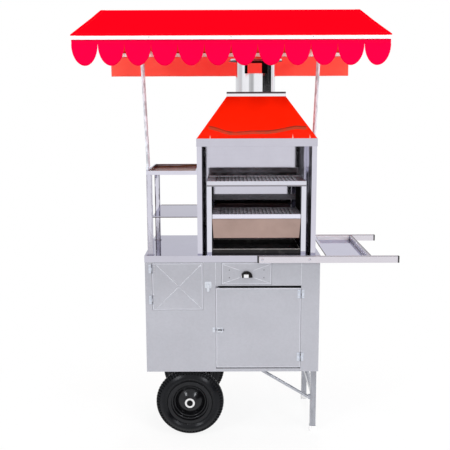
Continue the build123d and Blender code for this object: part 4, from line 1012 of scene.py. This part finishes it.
# The rim's rolled bed, and its dished disc with the hub, both as closed sections with their corners' round
RIM_BED = [(0.0988, -0.0272), (0.1165, -0.0272), (0.1165, -0.0242), (0.1018, -0.0242), (0.1018, 0.0242),
           (0.1165, 0.0242), (0.1165, 0.0272), (0.0988, 0.0272)]
RIM_DISC = [(0.0992, -0.0140), (0.0900, -0.0140), (0.0850, -0.0030), (0.0800, 0.0000), (0.0740, -0.0039),
            (0.0700, -0.0073), (0.0640, -0.0121), (0.0580, -0.0166), (0.0520, -0.0207), (0.0460, -0.0245),
            (0.0400, -0.0280), (0.0340, -0.0303), (0.0310, -0.0310), (0.0262, -0.0310), (0.0262, 0.0310),
            (0.0310, 0.0310), (0.0310, -0.0262), (0.0400, -0.0240), (0.0460, -0.0208), (0.0520, -0.0170),
            (0.0580, -0.0129), (0.0640, -0.0084), (0.0700, -0.0036), (0.0740, 0.0001), (0.0800, 0.0036),
            (0.0865, 0.0008), (0.0915, -0.0110), (0.0992, -0.0110)]
RIM_PARTS = ((RIM_BED, 0.0014), (RIM_DISC, 0.005))
RIM_SIDES = 128


def wheel_point(side, radius, place, angle):
    """A point of a wheel: side is -1 at the front, and place is across the wheel, negative outwards."""
    centre = (TYRE_LOW + TYRE_HIGH) / 2
    across = side * (abs(centre.y) - place)
    return Vector((centre.x + radius * math.cos(angle), across, centre.z + radius * math.sin(angle)))


def rounded_loop(corners, reach, steps=4):
    """Rounds the corners of a closed section, no further than a share of its shorter side."""
    line = [Vector(c) for c in corners]
    rounded = []
    for i, corner in enumerate(line):
        back, ahead = line[i - 1] - corner, line[(i + 1) % len(line)] - corner
        pull = min(reach, 0.45 * back.length, 0.45 * ahead.length)
        start = corner + back.normalized() * pull
        end = corner + ahead.normalized() * pull
        for step in range(steps + 1):
            t = step / steps
            rounded.append(start * (1 - t) ** 2 + corner * 2 * t * (1 - t) + end * t ** 2)
    return [(p.x, p.y) for p in rounded]


# Shapes of the doors


def leaf_screws(low, high):
    """Heights of the two screws in each of a door's two hinge leaves."""
    middles = (low + LEAF_HEIGHT / 2, high - LEAF_HEIGHT / 2)
    return [middle + step for middle in middles for step in (-LEAF_SCREW_STEP, LEAF_SCREW_STEP)]


def pressed_folds(name, hinge_margin, flat):
    """The four folds of a pressed panel, each from its outer corner to the flat middle."""
    low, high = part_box(name)
    left, right = low.x + hinge_margin, high.x - FOLD_MARGIN
    foot, top = low.z + FOLD_MARGIN, high.z - FOLD_MARGIN
    folds = []
    for side_x, x in ((-1, left), (1, right)):
        for side_z, z in ((-1, foot), (1, top)):
            middle_x, middle_z = (left + right) / 2 + side_x * flat.x, (foot + top) / 2 + side_z * flat.y
            folds.append((Vector((x, low.y + FOLD_RISE, z)), Vector((middle_x, low.y, middle_z))))
    return folds


# Operators


class CART_OT_sheet_metal(bpy.types.Operator):
    """Finishes the cabinet, counter, shelves, grill housing and chimney"""

    bl_idname = "cart.sheet_metal"
    bl_label = "Sheet metal"

    def execute(self, context):
        steel = context.scene.cart_steel
        grey, bright = steel.steel_grey, steel.steel_bright
        cover(CABINET, galvanised_sheet("galvanised_sheet", steel.zinc_grey))
        for name in DOORS:
            cover([name], galvanised_sheet(name + "_zinc", steel.zinc_grey, name))
        # Pieces of the same stainless sheet take lighter and darker copies of its grey: painted light,
        # matched to how bright each piece looks.
        sheets = [
            ("polished_flat_sheet", ["countertop", "hood_skirt"], grey, LEVEL, {}),
            ("back_wall_sheet", ["grill_back_wall"], grey, LEVEL, dict(marks=wall_soot)),
            ("lower_shelf_sheet", ["lower_shelf"], grey, LEVEL, dict(marks=shelf_edges, mark_colour=SHADED)),
            ("top_shelf_sheet", ["top_shelf"], shade(grey, 1.2), LEVEL,
             dict(marks=shelf_grease_and_reflection, mark_colour=BROWN_GREASE_AND_REFLECTION)),
            ("side_tray_sheet", ["side_tray"], shade(grey, 1.28), LEVEL,
             dict(marks=tray_edges, mark_colour=shade(SHADED, 0.4), pale=tray_back_reflection)),
            ("handle_sheet", ["handle_bars", "tray_ledges"], HANDLE_TINT, LEVEL,
             dict(rough=(0.12, 0.25), marks=handle_line, mark_colour=SHADED)),
            ("collar_sheet", ["hood_collar"], bright, LEVEL,
             dict(edge=0.9, marks=collar_line, mark_colour=SHADED)),
            ("housing_sheet", ["grill_corner_posts", "grill_side_walls"], shade(grey, 1.12), UPRIGHT,
             dict(marks=housing_soot_and_reflection)),
            ("post_sheet", ["shelf_posts"], shade(grey, 1.15), UPRIGHT,
             dict(marks=post_shade_streaks, mark_colour=shade(SHADED, 1.4))),
            ("stand_leg_sheet", ["stand_legs"], STAND_TINT, UPRIGHT, dict(marks=stand_soot_and_shade)),
            ("stand_sheet", ["stand_upper_frame", "grate_runners"], shade(STAND_TINT, 0.94), LEVEL,
             dict(marks=frame_shade, mark_colour=SHADED)),
            ("chimney_sheet", ["chimney_pipe"], bright, UPRIGHT,
             dict(ripple=0.0, edge=1.0, marks=pipe_soot_and_shade)),
            ("cap_sheet", ["chimney_cap"], bright, (240, 240, 240), dict(edge=1.0, marks=cap_soot_and_shade)),
        ]
        folded = CABINET + DOORS
        for name, pieces, colour, fineness, options in sheets:
            cover(pieces, polished_sheet(name, colour, fineness, **options))
            folded = folded + pieces
        fold_edges([name for name in folded if name not in NOT_FOLDED], steel.edge_round)
        return {"FINISHED"}


class CART_OT_grill(bpy.types.Operator):
    """Finishes the hood, the firebox, the grates and the ash tray"""

    bl_idname = "cart.grill"
    bl_label = "Grill"

    def execute(self, context):
        steel = context.scene.cart_steel
        cover(["hood_shell"], hood_enamel(steel.hood_red))
        cover(["firebox"], firebox_steel(steel.firebox_tint))
        for name in ("upper_grate", "lower_grate"):
            cover([name], grate_steel(name, shade(steel.steel_grey, 1.4)))
        cover(["ash_tray"], ash_soot_and_shade_steel())
        fold_edges(["hood_shell", "firebox"], 0.002, 3)
        fold_edges(["ash_tray"], steel.edge_round)
        return {"FINISHED"}


class CART_OT_frame(bpy.types.Operator):
    """Finishes the awning's frame, the legs, the axle and the small fittings"""

    bl_idname = "cart.frame"
    bl_label = "Frame and fittings"

    def execute(self, context):
        steel = context.scene.cart_steel
        cover(["awning_rails", "awning_cross_frames"], rail_paint(steel.rail_white))
        cover(["awning_poles", "pole_sockets"], zinc_tube("pole_zinc", POLE_ZINC, metal=0.05, worn=0.66))
        cover(["legs"], zinc_tube("leg_zinc", LEG_ZINC, LEG_FOOT))
        cover(["leg_bracing"], zinc_tube("brace_zinc", shade(LEG_ZINC, 1.2)))
        fittings = [
            ("dark_axle_steel", ["axle", "axle_rings", "axle_hangers"], (0.02, 0.02, 0.021), 0.36, None),
            ("pin_steel", ["hinge_pins"], (0.35, 0.35, 0.37), 0.30, None),
            ("plated_fittings", ["latch_keepers", "bolt_plate", "turn_latch_lever", "handle_bolts"],
             (0.76, 0.79, 0.86), 0.30, None),
            ("hinge_steel", ["frame_hinge_leaves", "main_door_hinge_leaves"], HINGE_GREY, 0.34, knuckle_shade),
            ("rod_steel", ["bolt_rod"], (0.14, 0.14, 0.16), 0.3, None),
        ]
        for name, pieces, colour, rough, marks in fittings:
            cover(pieces, bright_fitting(name, colour, rough, marks))
        chrome = polished_sheet("chromed_pull", (0.88, 0.88, 0.90), (300, 300, 300), marks=pull_dark)
        cover(["drawer_pull"], chrome)
        cover(["handle_plugs"], plug_plastic())
        fold_edges(["awning_cross_frames", "legs", "handle_plugs"], 0.0008)
        return {"FINISHED"}


class CART_OT_wheels(bpy.types.Operator):
    """Builds the lugged tyres and pressed rims, and finishes the bearings"""

    bl_idname = "cart.wheels"
    bl_label = "Wheels"

    def execute(self, context):
        wheel = context.scene.cart_wheels
        rubber, paint = tyre_rubber(wheel.rubber), rim_paint(wheel.rim_black)
        cover(["front_bearings", "rear_bearings"], bright_fitting("bearing_steel", (0.92, 0.92, 0.93), 0.3))
        for name, side in (("front", -1), ("rear", 1)):
            self.tyre(wheel, name, side, rubber)
            self.rim(name, side, paint)
        return {"FINISHED"}

    def tyre(self, wheel, name, side, rubber):
        """One tyre: moulded rings on the walls, and slanted lugs in two shoulders and a middle band."""
        pitch = 2 * math.pi / wheel.lugs
        half = TYRE_WALL + TYRE_TREAD
        section = half + [(r, -w) for r, w in reversed(half[:-1])]
        section += TYRE_INSIDE + [(r, -w) for r, w in reversed(TYRE_INSIDE[:-1])]
        points = []
        for i, (radius, place) in enumerate(section):
            along = Vector(section[(i + 1) % len(section)]) - Vector(section[i - 1])
            out = Vector((along.y, -along.x)).normalized()
            cut_here = radius > LUG_FOOT and i < 2 * len(half) - 1
            turn = abs(place) * LUG_SLANT + (pitch / 2 if abs(place) < RIB_HALF else 0.0)
            for lug in range(wheel.lugs):
                for share, cut in LUG_STEPS:
                    sink = wheel.lug_depth * cut if cut_here else 0.0
                    angle = (lug + share) * pitch + turn
                    points.append(wheel_point(side, radius - out.x * sink, place - out.y * sink, angle))
        faces = grid_faces(len(section), wheel.lugs * len(LUG_STEPS), loop_rows=True, loop_columns=True)
        piece = mesh_piece(name + "_tyre_rubber", points, faces, rubber, name + "_wheel",
                           closed=True, sharp=38)
        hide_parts(name + "_tyre")

    def rim(self, name, side, paint):
        """One pressed steel rim: the rolled bed of the tyre, and a dished disc that swells to the hub."""
        turns = [2 * math.pi * t / RIM_SIDES for t in range(RIM_SIDES)]
        points, faces = [], []
        for corners, reach in RIM_PARTS:
            loop = rounded_loop(corners, reach)
            faces += grid_faces(len(loop), RIM_SIDES, len(points), loop_rows=True, loop_columns=True)
            points += [wheel_point(side, radius, place, t) for radius, place in loop for t in turns]
        piece = mesh_piece(name + "_rim_pressing", points, faces, paint, name + "_wheel",
                           closed=True, sharp=50)
        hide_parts(name + "_rim")


class CART_OT_roof(bpy.types.Operator):
    """Sews the roof: one sheet of canvas from rail to rail over the ridge"""

    bl_idname = "cart.roof"
    bl_label = "Awning roof"

    def execute(self, context):
        awning = context.scene.cart_awning
        half = (ROOF_HIGH.x - ROOF_LOW.x) / 2
        edge = 1 - awning.hem / half
        across, along = roof_steps(edge)
        seam = UP * awning.thickness / 2
        rows = []
        for v in across:
            rows.append([roof_point(awning, u, v) + (seam if abs(u) > edge else Vector()) for u in along])
        for side in (-1, 1):
            rim = rows[0] if side < 0 else rows[-1]
            for down in (TURN_START, awning.turn_down / 2, awning.turn_down):
                turned = [p + Vector((0, side * TURN_BULGE, -down - awning.thickness)) for p in rim]
                rows.insert(0 if side < 0 else len(rows), turned)
        points = [p for row in rows for p in row]
        canvas = awning_canvas("roof_canvas", awning.roof_red, "Y", 0.06)
        lining = awning_canvas("roof_lining", awning.under_red, "Y", 0.35)
        faces = grid_faces(len(rows), len(along))
        roof = mesh_piece("roof_canvas", points, faces, canvas, "cart")
        thicken(roof, awning.thickness, -1, lining)
        hem = edge + HEM_SEAM
        lines = [[roof_point(awning, u, v) + seam for v in across] for u in (-hem, hem)]
        lines += [[roof_point(awning, u, v) for u in along] for v in (-EAVE_SEAM, EAVE_SEAM)]
        sewn = stitching("roof_stitching", lines, UP, sewing_thread("roof_thread", awning.roof_red))
        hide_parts("awning_roof")
        return {"FINISHED"}


class CART_OT_valances(bpy.types.Operator):
    """Sews the scalloped front valance and the straight rear valance"""

    bl_idname = "cart.valances"
    bl_label = "Valances"

    def execute(self, context):
        awning = context.scene.cart_awning
        canvas = awning_canvas("valance_canvas", awning.valance_red, "Z", 0.25)
        lining = awning_canvas("valance_lining", awning.backlit_lining_red, "Z", 0.6)
        thread = sewing_thread("valance_thread", awning.valance_red)
        self.front(awning, canvas, lining, thread)
        self.rear(awning, awning_canvas("rear_canvas", awning.valance_red, "Z", 0.6), lining, thread)
        return {"FINISHED"}

    def front(self, awning, canvas, lining, thread):
        """Round tongues under one uncut band, with a bound edge."""
        columns, rows, seam_steps = 24, 10, 300
        width, drop = FRONT_HIGH.x - FRONT_LOW.x, FRONT_HIGH.z - FRONT_LOW.z
        band = [awning.cusp * i / 3 for i in range(4)]
        height = len(band) + rows
        points, faces, edge = [], [], []
        for tongue in range(awning.scallops):
            start = len(points)
            for j in range(columns + 1):
                x, deep = scallop_edge(awning, tongue, j / columns)
                depths = band + [awning.cusp + deep * (i + 1) / rows for i in range(rows)]
                points += [front_point(awning, x, depth) for depth in depths]
                edge.append(points[-1])
            faces += grid_faces(columns + 1, height, start)
            if tongue:
                last = start - height
                joins = range(len(band) - 1)
                faces += [(last + i, last + i + 1, start + i + 1, start + i) for i in joins]
        sheet = mesh_piece("front_valance_canvas", points, faces, canvas, "cart",
                           merge=0.00005)
        thicken(sheet, awning.thickness, 0, lining)
        points, faces = [], []
        add_cord(points, faces, edge, BINDING_RADIUS, BINDING_SIDES)
        bound = mesh_piece("front_valance_binding", points, faces, canvas, "cart", closed=True)
        places = [FRONT_LOW.x + width * j / seam_steps for j in range(seam_steps + 1)]
        skin = FORWARD * awning.thickness / 2
        seams = [[front_point(awning, x, depth) + skin for x in places] for depth in FRONT_SEAMS]
        sewn = stitching("front_valance_stitching", seams, FORWARD, thread)
        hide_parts("front_valance")

    def rear(self, awning, canvas, lining, thread):
        """A straight strip in loose folds, hemmed along its foot; its lined side looks to the front."""
        columns, rows = 200, 16
        drop = REAR_HIGH.z - REAR_LOW.z
        places = [REAR_LOW.x + (REAR_HIGH.x - REAR_LOW.x) * j / columns for j in range(columns + 1)]
        points = [rear_point(awning, x, drop * i / (rows - 1)) for x in places for i in range(rows)]
        faces = grid_faces(columns + 1, rows)
        sheet = mesh_piece("rear_valance_canvas", points, faces, lining, "cart")
        thicken(sheet, awning.thickness, 0, canvas)
        skin = FORWARD * awning.thickness / 2
        foot = [rear_point(awning, x, drop - REAR_SEAM) - skin for x in places]
        sewn = stitching("rear_valance_stitching", [foot], -FORWARD, thread)
        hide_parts("rear_valance")


class CART_OT_creases(bpy.types.Operator):
    """Raises the folds of the small door and the drawer front, and the seams beside the drawer, as ribs of
    pale metal, a painted highlight
    """

    bl_idname = "cart.creases"
    bl_label = "Folds and seams"

    def execute(self, context):
        # Painted highlight: the ribs are paler than the zinc, standing for the light that the folds catch.
        zinc = bright_fitting("fold_highlight_steel", (0.74, 0.75, 0.81), 0.35)
        door_folds = pressed_folds("small_door_panel", FOLD_HINGE_MARGIN, DOOR_FLAT)
        drawer_folds = pressed_folds("drawer_front", FOLD_MARGIN, DRAWER_FLAT)
        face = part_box("cabinet_front_panel")[0].y
        low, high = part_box("drawer_front")
        seams = [(Vector((x, face, low.z - SEAM_PAST)), Vector((x, face, high.z + SEAM_PAST)))
                 for x in (low.x - SEAM_LEFT, high.x + SEAM_RIGHT)]
        self.beads("small_door_creases", door_folds, zinc, "small_door")
        self.beads("drawer_creases", drawer_folds, zinc, "drawer")
        self.beads("panel_seams", seams, zinc, "cart")
        return {"FINISHED"}

    def beads(self, name, lines, material, body):
        """Low ribs along these lines, as one piece."""
        points, faces = [], []
        for start, end in lines:
            add_bead(points, faces, start, end, FORWARD)
        mesh_piece(name, points, faces, material, body, closed=True)


class CART_OT_screws(bpy.types.Operator):
    """Drives the screws of the rails, hinges and bolt, and the rivets of the drawer front"""

    bl_idname = "cart.screws"
    bl_label = "Screws and rivets"

    def execute(self, context):
        plated = bright_fitting("screw_steel", (0.66, 0.66, 0.68), 0.28)
        dark = bright_fitting("rivet_steel", (0.10, 0.10, 0.11), 0.35)
        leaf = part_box("cabinet_front_panel")[0].y - LEAF_THICK
        frame_low, frame_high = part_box("frame_hinge_leaves")
        small_low, small_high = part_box("small_door_hinge_leaves")
        main_low, main_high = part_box("main_door_hinge_leaves")
        on_frame, on_small, on_main = [], [], []
        for z in leaf_screws(small_low.z, small_high.z):
            on_frame.append(Vector((frame_low.x + SCREW_INSET, leaf, z)))
            on_small.append(Vector((small_high.x - SCREW_INSET, leaf, z)))
        for z in leaf_screws(main_low.z, main_high.z):
            on_frame.append(Vector((frame_high.x - SCREW_INSET, leaf, z)))
            on_main.append(Vector((main_low.x + SCREW_INSET, leaf, z)))
        bolt_low, bolt_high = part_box("bolt_plate")
        for inset in BOLT_SCREW_INSETS:
            for z in (bolt_low.z + BOLT_SCREW_EDGE, bolt_high.z - BOLT_SCREW_EDGE):
                on_main.append(Vector((bolt_high.x - inset, leaf, z)))
        low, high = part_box("drawer_front")
        middle = (low + high) / 2
        rivets = [Vector((middle.x + x, low.y + RIVET_BACK, middle.z + z)) for x, z in RIVET_PLACES]
        self.heads("frame_leaf_screws", on_frame, FORWARD, SUNK_HEAD, LEAF_SCREW, plated, "cart")
        self.heads("small_door_screws", on_small, FORWARD, SUNK_HEAD, LEAF_SCREW, plated, "small_door")
        self.heads("main_door_screws", on_main, FORWARD, SUNK_HEAD, LEAF_SCREW, plated, "main_door")
        self.heads("drawer_rivets", rivets, FORWARD, PAN_HEAD, RIVET, dark, "drawer")
        rail = (RAIL_LOW.z + ROOF_LOW.z) / 2
        spots = [ROOF_MIDDLE + step * RAIL_SCREW_PITCH for step in (-1, 0, 1)]
        for name, side in (("front", -1), ("rear", 1)):
            places = [Vector((x, side * RAIL_HIGH.y, rail)) for x in spots]
            self.heads(name + "_rail_screws", places, -side * FORWARD, PAN_HEAD, RAIL_SCREW, plated, "cart")
        return {"FINISHED"}

    def heads(self, name, places, out, profile, radius, material, body):
        """Turned screw heads at these places, as one piece."""
        points, faces = [], []
        for place in places:
            add_head(points, faces, place, out, profile, radius)
        mesh_piece(name, points, faces, material, body, closed=True, sharp=40)


class CART_OT_stage(bpy.types.Operator):
    """Sets the floor, the even white light, the soft lamps and the camera"""

    bl_idname = "cart.stage"
    bl_label = "Stage"

    def execute(self, context):
        stage = context.scene.cart_stage
        self.floor(context.scene)
        self.sky(context.scene, stage)
        self.lamps(context.scene, stage)
        self.camera(context.scene, stage)
        context.scene.view_settings.view_transform = "Standard"
        return {"FINISHED"}

    def floor(self, scene):
        """A wide white floor that keeps the cart's shadow and fades into the white behind."""
        material = bpy.data.materials.new("studio_floor")
        material.use_nodes = True
        tree = material.node_tree
        tree.nodes.clear()
        path = node(tree, "LightPath").outputs
        seen = most(path["Is Camera Ray"], path["Is Glossy Ray"], path["Is Transmission Ray"])
        place = node(tree, "TexCoord").outputs["Object"]
        away = node(tree, "VectorMath", {0: place}, operation="LENGTH").outputs["Value"]
        lit = node(tree, "BsdfDiffuse", {"Color": FLOOR_WHITE}).outputs[0]
        glow = node(tree, "Emission", {"Color": WHITE, "Strength": 1.0}).outputs[0]
        share = times(seen, remap(away, 0.86, 1.0, 0.7, 1.7))
        node(tree, "OutputMaterial", {"Surface": mixed(share, lit, glow)})
        mesh = bpy.data.meshes.new("studio_floor")
        corners = [(FLOOR_REACH * x, FLOOR_REACH * y, 0) for x, y in ((-1, -1), (1, -1), (1, 1), (-1, 1))]
        mesh.from_pydata(corners, [], [(0, 1, 2, 3)])
        mesh.materials.append(material)
        floor = bpy.data.objects.new("studio_floor", mesh)
        scene.collection.objects.link(floor)

    def sky(self, scene, stage):
        """Even light for matt pieces, white behind the cart, and grey strips for polished sheet to mirror."""
        world = bpy.data.worlds.new("studio_white")
        scene.world = world
        world.use_nodes = True
        tree = world.node_tree
        tree.nodes.clear()
        path = node(tree, "LightPath").outputs
        x, y, z = axes(node(tree, "TexCoord").outputs["Generated"])
        turn = combine("ARCTAN2", x, times(y, -1.0))
        strips = curve(remap(turn, 0.0, 1.0, -math.pi, math.pi),
                       [((degrees + 180) / 360, grey) for degrees, grey in MIRRORED_STRIPS])
        plain = most(combine("LESS_THAN", z, LEVEL_SKY), combine("GREATER_THAN", z, OVERHEAD))
        even, mirrored, white = [node(tree, "Background", {"Color": WHITE, "Strength": strength}).outputs[0]
                                 for strength in (stage.sky, most(strips, plain), 1.0)]
        seen = most(path["Is Camera Ray"], path["Is Transmission Ray"])
        shine = mixed(path["Is Glossy Ray"], even, mirrored)
        node(tree, "OutputWorld", {"Surface": mixed(seen, shine, white)})

    def lamps(self, scene, stage):
        """Four soft lamps: in front at the left and right, behind the awning, and high above the roof."""
        for name, (place, share) in LAMPS.items():
            light = bpy.data.lights.new(name, "AREA")
            light.shape = "RECTANGLE"
            light.size, light.size_y = LAMP_SIZE
            light.energy = stage.lamp * share
            lamp = bpy.data.objects.new(name, light)
            lamp.location = place
            lamp.rotation_euler = (LAMP_AIM - Vector(place)).to_track_quat("-Z", "Y").to_euler()
            scene.collection.objects.link(lamp)

    def camera(self, scene, stage):
        """A camera in front of the cart, below the awning's rails."""
        data = bpy.data.cameras.new("photo_camera")
        data.sensor_width = 36.0
        data.lens = stage.lens
        camera = bpy.data.objects.new("photo_camera", data)
        pitch, yaw, roll = stage.camera_turn
        level = Matrix.Rotation(yaw, 4, "Z") @ Matrix.Rotation(math.pi / 2 - pitch, 4, "X")
        camera.matrix_world = Matrix.Translation(stage.camera_place) @ level @ Matrix.Rotation(-roll, 4, "Z")
        scene.collection.objects.link(camera)
        scene.camera = camera


class CART_PT_looks(bpy.types.Panel):
    """Lists the cart's pieces and the sizes and colours that they take"""

    bl_idname = "CART_PT_looks"
    bl_label = "Barbecue cart"
    bl_space_type = "VIEW_3D"
    bl_region_type = "UI"
    bl_category = "Cart"

    def draw(self, context):
        for name in SETTINGS:
            box = self.layout.box()
            settings = getattr(context.scene, name)
            for key in settings.__annotations__:
                box.prop(settings, key)
        for operator in OPERATORS:
            self.layout.operator(operator.bl_idname)


SETTINGS = {
    "cart_awning": AwningSettings,
    "cart_steel": SteelSettings,
    "cart_wheels": WheelSettings,
    "cart_stage": StageSettings,
}
OPERATORS = (CART_OT_sheet_metal, CART_OT_grill, CART_OT_frame, CART_OT_wheels, CART_OT_roof,
             CART_OT_valances, CART_OT_creases, CART_OT_screws, CART_OT_stage)
CLASSES = (*SETTINGS.values(), *OPERATORS, CART_PT_looks)


def register():
    for kind in CLASSES:
        bpy.utils.register_class(kind)
    for name, kind in SETTINGS.items():
        setattr(bpy.types.Scene, name, PointerProperty(type=kind))


def unregister():
    for name in SETTINGS:
        delattr(bpy.types.Scene, name)
    for kind in reversed(CLASSES):
        bpy.utils.unregister_class(kind)


def main():
    register()
    bpy.ops.cart.sheet_metal()
    bpy.ops.cart.grill()
    bpy.ops.cart.frame()
    bpy.ops.cart.wheels()
    bpy.ops.cart.roof()
    bpy.ops.cart.valances()
    bpy.ops.cart.creases()
    bpy.ops.cart.screws()
    bpy.ops.cart.stage()


if __name__ == "__main__":
    main()
